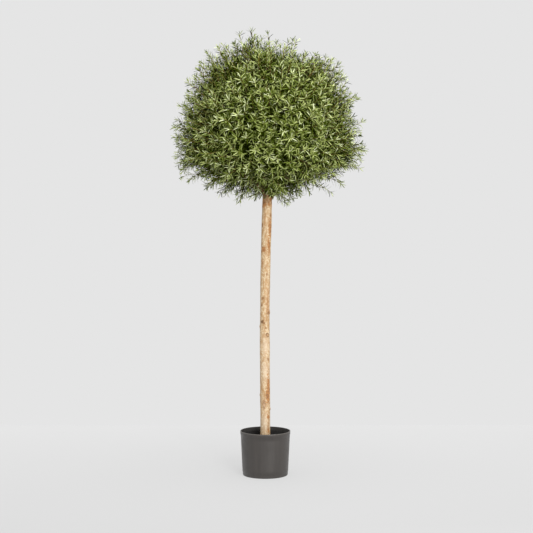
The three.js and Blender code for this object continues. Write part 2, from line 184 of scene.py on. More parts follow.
class Noise(Enum):
    """The seeded noises that shape surfaces: a seed, and the width and the height of a cell."""

    RAGGED = (5, 3.5 * MM, 3.5 * MM)
    FRAYED = (6, 1.7 * MM, 1.7 * MM)
    FACETS = (7, 9 * MM, 70 * MM)
    FIBRES = (8, 1.6 * MM, 24 * MM)
    BARK_EDGE = (9, 11 * MM, 11 * MM)
    BARK_ROUGH = (10, 3 * MM, 3 * MM)
    BARK_WORN = (11, 6 * MM, 16 * MM)
    WAVES = (21, 26 * MM, 26 * MM)
    RIPPLES = (22, 26 * MM, 26 * MM)
    WRINKLES = (31, 3 * MM, 3 * MM)
    FOLDS = (32, 9 * MM, 9 * MM)

    def at(self, points: Array) -> Array:
        """Noise from 0 to 1: values on a lattice of cells, blended by the smooth cubic.

        Args:
            points: Where to take it, in metres.

        Returns:
            A number for each point: the values at its cell's eight corners, weighted by nearness.
            A corner's value is looked up in a seeded table by a hash of its whole-numbered place.
        """
        seed, width, height = self.value
        table = np.random.default_rng(seed).random(NOISE_VALUES)
        scaled = points / np.array([width, width, height])
        cells = np.floor(scaled).astype(np.int64)
        shares = scaled - cells
        shares = shares**2 * (3 - 2 * shares)
        total = np.zeros(points.shape[:-1])
        for step in np.ndindex(2, 2, 2):
            weights = np.where(np.array(step) == 1, shares, 1 - shares)
            hashed = np.bitwise_xor.reduce((cells + np.array(step)) * HASH_PRIMES, axis=-1)
            total += np.prod(weights, axis=-1) * table[hashed % NOISE_VALUES]
        return total


# ---- Surfaces ----


@dataclass
class Surface:
    """A mesh as arrays: its corners, its polygons by number of sides, and values at its corners."""

    vertices: Array
    polygons: list[Array]
    values: dict[str, Array] = field(default_factory=dict)

    def triangles(self) -> int:
        """How many triangles the polygons make."""
        return sum(len(faces) * (faces.shape[1] - 2) for faces in self.polygons)

    def joined(self, other: Surface) -> Surface:
        """The shapes of this surface and another as one."""
        moved = [faces + len(self.vertices) for faces in other.polygons]
        return Surface(np.concatenate([self.vertices, other.vertices]), self.polygons + moved)

    def made(self, name: str, smooth: bool = True) -> bpy.types.Object:
        """The surface as an object in the scene.

        Args:
            name: The object's and the mesh's name.
            smooth: Whether the faces are shaded as one smooth surface.

        Returns:
            The new object, which sits at the origin.
        """
        mesh = bpy.data.meshes.new(name)
        corners = np.concatenate([faces.ravel() for faces in self.polygons])
        sides = np.concatenate([np.full(len(faces), faces.shape[1]) for faces in self.polygons])
        mesh.vertices.add(len(self.vertices))
        mesh.vertices.foreach_set("co", self.vertices.astype(np.float32).ravel())
        mesh.loops.add(len(corners))
        mesh.loops.foreach_set("vertex_index", corners.astype(np.int32))
        mesh.polygons.add(len(sides))
        mesh.polygons.foreach_set("loop_start", (np.cumsum(sides) - sides).astype(np.int32))
        mesh.polygons.foreach_set("use_smooth", np.full(len(sides), smooth))
        for title, values in self.values.items():
            layer = mesh.attributes.new(title, "FLOAT", "POINT")
            layer.data.foreach_set("value", values.astype(np.float32))
        mesh.update(calc_edges=True)
        mesh.validate()
        made = bpy.data.objects.new(name, mesh)
        bpy.context.scene.collection.objects.link(made)
        return made


def strips(rows: int, columns: int) -> Array:
    """The faces between neighbouring rows of points, each row a closed ring.

    Args:
        rows: How many rows there are.
        columns: How many points a row has.

    Returns:
        Four corner numbers a face, anticlockwise seen from outside where rows run anticlockwise
        seen from the last one.
    """
    here = np.arange(columns)
    after = (here + 1) % columns
    start = columns * np.arange(rows - 1)[:, None]
    corners = (start + here, start + after, start + columns + after, start + columns + here)
    return np.stack(corners, axis=-1).reshape(-1, 4)


def closed_tube(rings: Array, foot: Array, head: Array) -> Surface:
    """A closed skin over rings of points, each end drawn in to one point.

    Args:
        rings: Points as (rows, columns, 3). A row runs anticlockwise seen from the head.
        foot: The point that closes the first row.
        head: The point that closes the last row.

    Returns:
        Quadrilaterals between neighbouring rows and columns, and a fan of triangles at each end.
    """
    rows, columns = rings.shape[:2]
    here = np.arange(columns)
    after = (here + 1) % columns
    foot_at = np.full(columns, rows * columns)
    last = columns * (rows - 1)
    fans = [(foot_at, after, here), (foot_at + 1, last + here, last + after)]
    vertices = np.concatenate([rings.reshape(-1, 3), foot[None], head[None]])
    ends = np.concatenate([np.stack(corners, axis=-1) for corners in fans])
    return Surface(vertices, [strips(rows, columns), ends])


def closed_ring(rings: Array) -> Surface:
    """A closed skin over rows of points, in which the last row joins on to the first."""
    rows, columns = rings.shape[:2]
    return Surface(rings.reshape(-1, 3), [strips(rows + 1, columns) % (rows * columns)])


def turned(profile: Array, sides: int) -> Array:
    """An outline turned round the upright axis.

    Args:
        profile: Points as (radius, height).
        sides: How many places round the axis each point is put at.

    Returns:
        Rings of points as (outline, sides, 3).
    """
    turns = spread_round(sides)
    radius, height = profile[:, :1], profile[:, 1:]
    level = np.broadcast_to(height, (len(profile), sides))
    return np.stack([radius * np.cos(turns), radius * np.sin(turns), level], axis=-1)


def arc(centre: Span, radius: float, start: float, end: float, steps: int) -> Array:
    """Points of a circular arc in the (radius, height) plane, between two angles in degrees."""
    turns = np.radians(np.linspace(start, end, steps))
    return np.array(centre) + radius * np.stack([np.cos(turns), np.sin(turns)], axis=-1)


# ---- Limbs ----


@dataclass
class Limbs:
    """Many limbs at once: cubic curves whose radius falls evenly from root to tip."""

    controls: Array
    root_radius: Array
    tip_radius: Array

    def __len__(self) -> int:
        """How many limbs there are."""
        return len(self.controls)

    def kept(self, chosen: Array) -> Limbs:
        """The chosen limbs, by number or by truth."""
        return Limbs(self.controls[chosen], self.root_radius[chosen], self.tip_radius[chosen])

    def joined(self, others: Limbs) -> Limbs:
        """These limbs, and others after them."""
        return Limbs(*(np.concatenate([getattr(self, part), getattr(others, part)])
                       for part in ("controls", "root_radius", "tip_radius")))

    def places(self, rows: int) -> Array:
        """Even places along every limb, as (limbs, rows), from 0 at the root to 1 at the tip."""
        return np.broadcast_to(np.linspace(0, 1, rows), (len(self), rows))

    def points(self, shares: Array) -> Array:
        """Points on the curves: the four control points weighted by the cubic Bernstein terms.

        Args:
            shares: (limbs, k) places along each limb, from 0 at the root to 1 at the tip.

        Returns:
            Points as (limbs, k, 3).
        """
        s = shares[..., None]
        first, second, third, fourth = (self.controls[:, None, i] for i in range(4))
        near = (1 - s) ** 3 * first + 3 * s * (1 - s) ** 2 * second
        return near + 3 * s**2 * (1 - s) * third + s**3 * fourth

    def tangents(self, shares: Array) -> Array:
        """Unit directions of the curves towards the tip.

        Args:
            shares: (limbs, k) places along each limb.

        Returns:
            Directions as (limbs, k, 3), by the derivative of the cubic.
        """
        s = shares[..., None]
        first, second, third = (np.diff(self.controls, axis=1)[:, None, i] for i in range(3))
        return unit((1 - s) ** 2 * first + 2 * s * (1 - s) * second + s**2 * third)

    def radii(self, shares: Array) -> Array:
        """Radii at places along each limb, evenly from root to tip."""
        return self.root_radius[:, None] + (self.tip_radius - self.root_radius)[:, None] * shares

    def frames(self, shares: Array) -> tuple[Array, Array, Array]:
        """Directions along, beside and across each limb.

        Args:
            shares: (limbs, k) places along each limb.

        Returns:
            Three arrays of unit vectors. The second is the part of one fixed direction of the limb
            that stands square to the limb, so it doesn't twist, and the third is their product.
        """
        along = self.tangents(shares)
        middle = unit(self.controls[:, 3] - self.controls[:, 0])
        spare = np.where(np.abs(middle[:, 2:]) > STEEP, EAST, UP)
        fixed = unit(np.cross(middle, spare))[:, None]
        beside = unit(fixed - dot(fixed, along) * along)
        return along, beside, np.cross(along, beside)

    def spokes(self, shares: Array, sides: int) -> Array:
        """Unit directions from each limb's line out to the corners of its sections.

        Args:
            shares: (limbs, rows) places of the sections along each limb.
            sides: Corners of a section.

        Returns:
            Directions as (limbs, rows, sides, 3).
        """
        _, beside, across = self.frames(shares)
        turns = spread_round(sides)[:, None]
        return np.cos(turns) * beside[:, :, None] + np.sin(turns) * across[:, :, None]

    def swept(self, sides: int, rows: int) -> Surface:
        """Every limb as a closed tube with flat ends.

        Args:
            sides: Corners of the section.
            rows: Sections along each limb.

        Returns:
            Rings of points at the limb's radius round its line, with a polygon at each end.
        """
        shares = self.places(rows)
        radii = self.radii(shares)[..., None, None]
        rings = self.points(shares)[:, :, None] + radii * self.spokes(shares, sides)
        first = (rows * sides * np.arange(len(self)))[:, None]
        walls = (first[..., None] + strips(rows, sides)).reshape(-1, 4)
        here = np.arange(sides)
        ends = np.concatenate([first + here[::-1], first + sides * (rows - 1) + here])
        return Surface(rings.reshape(-1, 3), [walls, ends])


def grown(parents: Limbs, order: Array, shares: Array, tips: Array, aims: Array, radii: Span,
          following: float = 0.5) -> Limbs:
    """New limbs that leave older ones and end at given tips.

    Args:
        parents: The limbs that carry the new ones.
        order: The number of each new limb's parent.
        shares: Where along its parent each one starts.
        tips: Where each one ends.
        aims: Unit directions in which they end.
        radii: Root and tip radius. A root is never thicker than its parent.
        following: How far a limb leaves along its parent, from 0 for straight at its tip.

    Returns:
        Cubic curves with their middle controls a third of the length from either end.
    """
    chosen = parents.kept(order)
    roots = chosen.points(shares[:, None])[:, 0]
    thickest = chosen.radii(shares[:, None])[:, 0]
    along = chosen.tangents(shares[:, None])[:, 0]
    span = tips - roots
    third = np.linalg.norm(span, axis=-1, keepdims=True) / 3
    leaving = unit((1 - following) * unit(span) + following * along)
    controls = np.stack([roots, roots + leaving * third, tips - aims * third, tips], axis=1)
    root_radius = np.minimum(radii[0], thickest)
    return Limbs(controls, root_radius, np.minimum(radii[1], root_radius))


# ---- Finishes ----


def add_node(tree: Tree, kind: str, settings: Feeds | None = None,
             links: Feeds | None = None) -> bpy.types.Node:
    """Adds one shader node with its settings and links.

    Args:
        tree: The node tree to add it to.
        kind: Blender's name of the node's type, after "ShaderNode".
        settings: Values. A key in small letters is a property of the node, and any other key is
            the name or the number of an input.
        links: What feeds an input, by the input's name or number: another node's output, or the
            node itself for the first output that it uses.

    Returns:
        The new node.
    """
    node = tree.nodes.new(f"ShaderNode{kind}")
    for key, value in (settings or {}).items():
        if isinstance(key, str) and key.islower():
            setattr(node, key, value)
        else:
            node.inputs[key].default_value = value
    for key, source in (links or {}).items():
        if isinstance(source, bpy.types.Node):
            source = next(output for output in source.outputs if output.enabled)
        tree.links.new(source, node.inputs[key])
    return node


def shades(colour: str, spread: float) -> Feeds:
    """A colour darkened and lightened by a spread, as the two colours of a blend."""
    return {FIRST: linear(colour, 1 - spread), SECOND: linear(colour, 1 + spread)}


@dataclass(frozen=True)
class Finish:
    """One real material: its name, what sets its gloss, and how deep and strong its relief is."""

    name: str
    roughness: float
    ior: float
    specular: float = 0.5
    relief: float = 0.0
    relief_strength: float = 0.6

    def material(self) -> bpy.types.Material:
        """The finish as Blender needs it.

        Returns:
            A new material, in which the finish's pattern feeds one Principled shader.
        """
        made = bpy.data.materials.new(self.name)
        made.use_nodes = True
        tree = made.node_tree
        tree.nodes.clear()
        feeds = self.pattern(tree, add_node(tree, "TexCoord").outputs["Object"])
        if "Height" in feeds:
            bump = {"Strength": self.relief_strength, "Distance": self.relief}
            feeds["Normal"] = add_node(tree, "Bump", bump, {"Height": feeds.pop("Height")})
        gloss = {"Roughness": self.roughness, "IOR": self.ior, "Specular IOR Level": self.specular}
        shader = add_node(tree, "BsdfPrincipled", gloss, feeds)
        add_node(tree, "OutputMaterial", links={"Surface": shader})
        return made

    def pattern(self, tree: Tree, place: Socket) -> Feeds:
        """The finish's own pattern.

        Args:
            tree: The node tree to add it to.
            place: The output that gives the place on the piece, in metres.

        Returns:
            What feeds each input of the shader. Height is the relief, from 0 to 1.
        """
        raise NotImplementedError


@dataclass(frozen=True)
class MouldedPolypropylene(Finish):
    """Thin injection-moulded polypropylene, as in a nursery pot.

    It is a satin grey that takes a soft sheen at its edges, with faint upright flow marks from the
    mould, a fine grain and slightly duller scuffs. A paler band just under the rim is a painted
    highlight, and the inside is matt and painted nearly black as painted shade.
    """

    name: str = "moulded_polypropylene"
    roughness: float = 0.4
    ior: float = 1.49
    specular: float = 0.7
    relief: float = 0.12 * MM
    relief_strength: float = 0.5
    colour: str = "#3b3632"
    dark: str = "#2e2a27"
    # Painted shade: the near black of the inside.
    painted_inner_shade: str = "#100e0c"
    # Painted highlight: the paler colour of the band just under the lip.
    edge: str = "#4d4843"
    flow_width: float = 9 * MM
    flow_length: float = 220 * MM
    grain: float = 1.6 * MM
    scuff: float = 24 * MM
    glossier: float = 0.05
    duller: float = 0.08

    def pattern(self, tree: Tree, place: Socket) -> Feeds:
        """Flow marks shade the colour, scuffs the gloss, and the grain the surface.

        Args:
            tree: The node tree to add it to.
            place: The output that gives the place on the piece.

        Returns:
            What feeds the shader.
        """
        stretch = (1 / self.flow_width, 1 / self.flow_width, 1 / self.flow_length)
        upright = add_node(tree, "Mapping", {"Scale": stretch}, {"Vector": place})
        flow = add_node(tree, "TexNoise", {"Scale": 1.0, "Detail": 3.0}, {"Vector": upright})
        colours = {FIRST: linear(self.dark), SECOND: linear(self.colour)}
        tone = add_node(tree, "Mix", BLEND | colours, {SHARE: flow})
        # Painted highlight: a band just under the lip on the outside is mixed towards the paler edge
        # colour. Painted shade: the inside is mixed towards near black.
        for part, colour in (("lip_highlight", self.edge), ("inner", self.painted_inner_shade)):
            share = add_node(tree, "Attribute", {"attribute_name": part}).outputs["Fac"]
            tone = add_node(tree, "Mix", BLEND | {SECOND: linear(colour)},
                            {SHARE: share, FIRST: tone})
        scuffs, grain = (
            add_node(tree, "TexNoise", {"Scale": 1 / size, "Detail": detail}, {"Vector": place})
            for size, detail in ((self.scuff, 4.0), (self.grain, 2.0)))
        gloss = {"To Min": self.roughness - self.glossier, "To Max": self.roughness + self.duller}
        dull = add_node(tree, "MapRange", {"From Min": 0.35, "From Max": 0.65, **gloss},
                        {"Value": scuffs})
        dusty = add_node(tree, "Math", {"operation": "MAXIMUM"}, {0: dull, 1: share})
        return {"Base Color": tone, "Roughness": dusty, "Height": grain}


@dataclass(frozen=True)
class SetFiller(Finish):
    """Dark cement filler, poured round the pole and left to set.

    It is nearly black and quite matt, with pale grains of sand and a little laitance in streaks.
    """

    name: str = "set_cement_filler"
    roughness: float = 0.9
    ior: float = 1.5
    relief: float = 0.6 * MM
    relief_strength: float = 0.8
    colour: str = "#2c2a26"
    streak: str = "#4a4640"
    streak_size: float = 30 * MM
    sand: float = 2.2 * MM

    def pattern(self, tree: Tree, place: Socket) -> Feeds:
        """Streaks and grains of sand shade the colour, and the sand stands out a little.

        Args:
            tree: The node tree to add it to.
            place: The output that gives the place on the piece.

        Returns:
            What feeds the shader.
        """
        streaks, sand = (
            add_node(tree, "TexNoise", {"Scale": 1 / size, "Detail": detail}, {"Vector": place})
            for size, detail in ((self.streak_size, 5.0), (self.sand, 2.0)))
        both = add_node(tree, "Math", {"operation": "MULTIPLY"}, {0: streaks, 1: sand})
        share = add_node(tree, "MapRange", {"From Min": 0.2, "From Max": 0.42}, {"Value": both})
        colours = {FIRST: linear(self.colour), SECOND: linear(self.streak)}
        tone = add_node(tree, "Mix", BLEND | colours, {SHARE: share})
        return {"Base Color": tone, "Height": sand}


@dataclass(frozen=True)
class PeeledSoftwood(Finish):
    """A young softwood stem with its bark shaved off by hand and left unvarnished.

    The bare wood is a pale tan with pinkish and ochre clouds drawn out along the grain. Where the
    blade left some inner bark it is orange-brown and a little raised, and knots are dark brown.
    The fibres and specks are drawn coarser than real ones, which would be too fine to show.
    """

    name: str = "peeled_softwood"
    roughness: float = 0.62
    ior: float = 1.5
    relief: float = 0.25 * MM
    pale: str = "#d2bf9e"
    tan: str = "#aa8b66"
    ochre: str = "#a9804f"
    pink: str = "#d2c0a7"
    inner_bark: str = "#ac7846"
    dark_bark: str = "#7a5638"
    knot: str = "#4e3418"
    cloud_width: float = 7 * MM
    cloud_length: float = 20 * MM
    fibre_width: float = 1.4 * MM
    fibre_length: float = 45 * MM
    fleck: float = 6 * MM
    speck: float = 2.6 * MM
    bark_duller: float = 0.2

    def pattern(self, tree: Tree, place: Socket) -> Feeds:
        """Clouds, fibres, flecks and specks shade the wood, and the marks lay bark over it.

        Args:
            tree: The node tree to add it to.
            place: The output that gives the place on the piece.

        Returns:
            What feeds the shader.
        """
        clouds, fibres = (
            add_node(tree, "TexNoise", {"Scale": 1.0, **more}, {
                "Vector": add_node(tree, "Mapping", {"Scale": (1 / width, 1 / width, 1 / length)},
                                   {"Vector": place})})
            for width, length, more in (
                (self.cloud_width, self.cloud_length, {"Detail": 4.0, "Roughness": 0.6}),
                (self.fibre_width, self.fibre_length, {"Detail": 2.0})))
        flecks, specks = (
            add_node(tree, "TexNoise", {"Scale": 1 / size, "Detail": detail}, {"Vector": place})
            for size, detail in ((self.fleck, 3.0), (self.speck, 2.0)))
        light = add_node(tree, "MapRange", {"From Min": 0.4, "From Max": 0.56}, {"Value": clouds})
        colours = {FIRST: linear(self.tan), SECOND: linear(self.pale)}
        wood = add_node(tree, "Mix", BLEND | colours, {SHARE: light})
        for source, low, high, most in ((flecks, 0.47, 0.6, 0.62), (fibres, 0.5, 0.75, 0.45),
                                        (specks, 0.5, 0.62, 0.75)):
            share = add_node(tree, "MapRange", {"From Min": low, "From Max": high, "To Max": most},
                             {"Value": source})
            wood = add_node(tree, "Mix", BLEND | {SECOND: linear(self.ochre)},
                            {SHARE: share, FIRST: wood})
        mottle = add_node(tree, "MapRange", {"From Min": 0.4, "From Max": 0.68}, {"Value": flecks})
        colours = {FIRST: linear(self.inner_bark), SECOND: linear(self.dark_bark)}
        rind = add_node(tree, "Mix", BLEND | colours, {SHARE: mottle})
        pink, bark, knot = (add_node(tree, "Attribute", {"attribute_name": title}).outputs["Fac"]
                            for title in ("pink", "bark", "knot"))
        covers = ((pink, {SECOND: linear(self.pink)}, {}), (bark, {}, {SECOND: rind}),
                  (knot, {SECOND: linear(self.knot)}, {}))
        for share, colour, over in covers:
            wood = add_node(tree, "Mix", BLEND | colour, {SHARE: share, FIRST: wood, **over})
        dull = {"To Min": self.roughness, "To Max": self.roughness + self.bark_duller}
        gloss = add_node(tree, "MapRange", dull, {"Value": bark})
        return {"Base Color": wood, "Roughness": gloss, "Height": fibres}


@dataclass(frozen=True)
class TwigBark(Finish):
    """Thin smooth bark of the boughs and twigs: grey-green with reddish-brown where it is older."""

    name: str = "green_brown_twig_bark"
    roughness: float = 0.7
    ior: float = 1.5
    specular: float = 0.08
    relief: float = 0.3 * MM
    colour: str = "#6a6a42"
    half_shade: str = "#6b4a34"
    blotch: float = 14 * MM
    pore: float = 2 * MM

    def pattern(self, tree: Tree, place: Socket) -> Feeds:
        """Blotches mix the two colours, and pores roughen the surface.

        Args:
            tree: The node tree to add it to.
            place: The output that gives the place on the piece.

        Returns:
            What feeds the shader.
        """
        blotches, pores = (
            add_node(tree, "TexNoise", {"Scale": 1 / size, "Detail": detail}, {"Vector": place})
            for size, detail in ((self.blotch, 4.0), (self.pore, 2.0)))
        middling = {"From Min": 0.38, "From Max": 0.62}
        share = add_node(tree, "MapRange", middling, {"Value": blotches})
        colours = {FIRST: linear(self.colour), SECOND: linear(self.half_shade)}
        tone = add_node(tree, "Mix", BLEND | colours, {SHARE: share})
        return {"Base Color": tone, "Height": pores}


@dataclass(frozen=True)
class MouldedLeaf(Finish):
    """Soft moulded polyethylene leaves of one tint.

    Each has a low even gloss that catches the light along the blade, and the dye is a little
    uneven from leaf to leaf.
    """

    ior: float = 1.5
    colour: str = field(kw_only=True)
    leaf: float = 5 * MM
    spread: float = 0.25
    glossier: float = 0.06
    duller: float = 0.1

    def pattern(self, tree: Tree, place: Socket) -> Feeds:
        """Clouds as long as part of a leaf lighten and darken the tint, and vary the gloss.

        Args:
            tree: The node tree to add it to.
            place: The output that gives the place on the piece.

        Returns:
            What feeds the shader.
        """
        scale = {"Scale": 1 / self.leaf, "Detail": 2.0}
        blades = add_node(tree, "TexNoise", scale, {"Vector": place})
        share = add_node(tree, "MapRange", {"From Min": 0.35, "From Max": 0.65}, {"Value": blades})
        gloss = {"To Min": self.roughness - self.glossier, "To Max": self.roughness + self.duller}
        gloss = add_node(tree, "MapRange", {"From Min": 0.3, "From Max": 0.7, **gloss},
                         {"Value": blades})
        tone = add_node(tree, "Mix", BLEND | shades(self.colour, self.spread), {SHARE: share})
        return {"Base Color": tone, "Roughness": gloss}


@dataclass(frozen=True)
class StudioPaper(Finish):
    """Matt pale paper with soft clouds, lit from below as well so that shadows on it stay faint."""

    name: str = "studio_paper"
    roughness: float = 0.9
    ior: float = 1.45
    specular: float = 0.1
    colour: str = "#6a6a6a"
    glow: Span = (0.497, 0.605)
    glow_over: Span = (-0.8, 1.0)
    brighter_way: Triple = (-0.13, 1.0, 0.0)
    cloud: float = 0.6
    spread: float = 0.02

    def pattern(self, tree: Tree, place: Socket) -> Feeds:
        """Wide clouds shade the paper by a hair, and it glows white, more towards the back.

        Args:
            tree: The node tree to add it to.
            place: The output that gives the place on the piece.

        Returns:
            What feeds the shader.
        """
        along = {"operation": "DOT_PRODUCT", 1: self.brighter_way}
        depth = add_node(tree, "VectorMath", along, {0: place})
        levels = dict(zip(("From Min", "From Max", "To Min", "To Max"), self.glow_over + self.glow))
        glow = add_node(tree, "MapRange", levels, {"Value": depth})
        scale = {"Scale": 1 / self.cloud, "Detail": 1.0}
        clouds = add_node(tree, "TexNoise", scale, {"Vector": place})
        tone = add_node(tree, "Mix", BLEND | shades(self.colour, self.spread), {SHARE: clouds})
        return {"Base Color": tone, "Emission Strength": glow}


def dressed(surface: Surface, name: str, finish: Finish, nodes: list[str],
            smooth: bool = True) -> bpy.types.Object:
    """Makes a surface into a finished piece of the object and reports it.

    Args:
        surface: The piece's shape.
        name: The piece's name.
        finish: What it is made of.
        nodes: The solids that it stands for.
        smooth: Whether it is shaded as one smooth surface.

    Returns:
        The piece, which rides on the plant's one body.
    """
    piece = surface.made(name, smooth)
    piece.data.materials.append(finish.material())
    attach(piece, ROOT_BODY)
    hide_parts(*nodes)
    log.info("%s: %d triangles of %s, for %s", name, surface.triangles(), finish.name,
             ", ".join(nodes))
    return piece


# ---- Pot and filler ----


@dataclass
class Pot:
    """The thin-walled nursery pot, moulded with an inset foot and a proud band under the rim."""

    height: float
    rim_radius: float
    base_radius: float = 76.5 * MM
    wall: float = 2.2 * MM
    floor: float = 3.5 * MM
    edge_round: float = 3 * MM
    foot_height: float = 14 * MM
    foot_inset: float = 0.7 * MM
    band_height: float = 13 * MM
    band_proud: float = 0.9 * MM
    step: float = 1 * MM
    lip_round: float = 0.8 * MM
    # Painted highlight: how far down from the rim the paler band reaches, and the rows laid in it.
    lip_highlight: float = 3.2 * MM
    lip_highlight_rows: tuple[float, ...] = (1.0, 0.75, 0.5)
    sides: int = 192
    arc_steps: int = 7
    wall_rows: int = 10

    def radius(self, height: float | Array) -> float | Array:
        """The plain outer radius at a height: it grows evenly from the base to the rim."""
        top = self.rim_radius - self.band_proud
        return self.base_radius + (top - self.base_radius) * height / self.height

    def inside(self, height: float) -> float:
        """The inner radius at a height."""
        return self.radius(height) - self.wall

    def flank(self, levels: Array, proud: float = 0.0) -> Array:
        """Points of the outer wall at some levels, moved outwards by a distance."""
        return np.stack([self.radius(levels) + proud, levels], axis=-1)

    def profile(self) -> Array:
        """The wall's outline.

        Returns:
            Points as (radius, height), from under the base over the lip to the inner floor.
        """
        foot = self.base_radius - self.foot_inset
        band_foot = self.height - self.band_height
        lip = self.height - self.lip_round
        inner = self.inside(self.height)
        share = np.linspace(1 / self.wall_rows, 1, self.wall_rows)
        lip_highlight = self.height - np.array(self.lip_highlight_rows) * self.lip_highlight
        return np.concatenate([
            [(0.5 * foot, 0.0)],
            arc((foot - self.edge_round, self.edge_round), self.edge_round, -90, 0, self.arc_steps),
            [(self.radius(self.foot_height) - self.foot_inset, self.foot_height - self.step),
             (self.radius(self.foot_height), self.foot_height)],
            self.flank(share * band_foot + (1 - share) * self.foot_height),
            self.flank(np.append(band_foot + self.step, lip_highlight), self.band_proud),
            arc((self.rim_radius - self.lip_round, lip), self.lip_round, 0, 90, self.arc_steps),
            arc((inner + self.lip_round, lip), self.lip_round, 90, 180, self.arc_steps),
            self.flank(share * self.floor + (1 - share) * lip, -self.wall),
            [(0.5 * self.inside(self.floor), self.floor)],
        ])

    def build(self) -> None:
        """Turns the outline round the upright axis and dresses it."""
        profile = self.profile()
        level = profile[:, 1]
        shell = closed_tube(turned(profile, self.sides), np.zeros(3), UP * self.floor)
        inside = np.arange(len(profile)) > np.argmax(level)
        # Painted highlight: on the outside, a band just under the lip is made paler.
        below, fullest_lip_highlight = self.height - self.lip_highlight, self.height - 0.5 * self.lip_highlight
        # Painted shade: the inside below the lip, and the inner floor, are made nearly black.
        inner = smooth_step(self.height, self.height - self.lip_round - self.step, level) * inside
        lip_highlight = smooth_step(below, fullest_lip_highlight, level) * ~inside
        shell.values = {"inner": np.append(np.repeat(inner, self.sides), [0.0, 1.0]),
                        "lip_highlight": np.append(np.repeat(lip_highlight, self.sides), [0.0, 0.0])}
        dressed(shell, "pot_shell", MouldedPolypropylene(), ["pot"])


@dataclass
class Filler:
    """The set filler: a ring between the pot's wall and the pole, with an uneven top."""

    pot: Pot
    top: float
    bottom: float
    socket: float = 17.6 * MM
    clearance: float = 0.3 * MM
    unevenness: float = 2.4 * MM
    rings: int = 34
    sides: int = 160

    def build(self) -> None:
        """Lays the top out in rings, its level set by noise that fades at the pole and the wall."""
        across = np.linspace(0, 1, self.rings)
        wall, foot = (self.pot.inside(level) - self.clearance for level in (self.top, self.bottom))
        radius = self.socket + (wall - self.socket) * across[::-1]
        flat = turned(np.stack([radius, np.full(self.rings, self.top)], axis=-1), self.sides)
        waves = Noise.WAVES.at(flat) + 0.5 * Noise.RIPPLES.at(3 * flat)
        flat[..., 2] -= self.unevenness * waves * np.sin(np.pi * across)[:, None]
        below = turned(np.array([(self.socket, self.bottom), (foot, self.bottom)]), self.sides)
        block = closed_ring(np.concatenate([flat, below]))
        dressed(block, "filler_block", SetFiller(), ["pot_fill"])


# ---- Pole ----


@dataclass(frozen=True)
class MarkLook:
    """What a mark does to the pole: shares of each colour, and how far it stands out."""

    bark: float = 0.0
    knot: float = 0.0
    pink: float = 0.0
    ringed: float = 0.0
    lift: float = 0.0


class MarkKind(Enum):
    """The kinds of mark that the peeled pole shows."""

    PATCH = MarkLook(bark=1.0, lift=0.35 * MM)
    STAIN = MarkLook(bark=0.55)
    KNOT = MarkLook(bark=0.8, knot=0.95, lift=0.8 * MM)
    RING = MarkLook(bark=0.7, ringed=0.85, lift=0.3 * MM)
    SPOT = MarkLook(bark=0.8, knot=0.45)
    NUB = MarkLook(bark=0.6, lift=1.7 * MM)
    # Pale pinkish flushes of the wood; the one at 180 mm is painted light.
    FLUSH = MarkLook(pink=0.6)
    SCAR = MarkLook(pink=0.8, ringed=0.4)


@dataclass(frozen=True)
class Mark:
    """One mark: its kind, its height, how far round it is from the front, and its size.

    Heights and sizes are in millimetres, and the turn is in degrees from the front to the right.
    """

    kind: MarkKind
    level: float
    turn: float
    width: float
    length: float


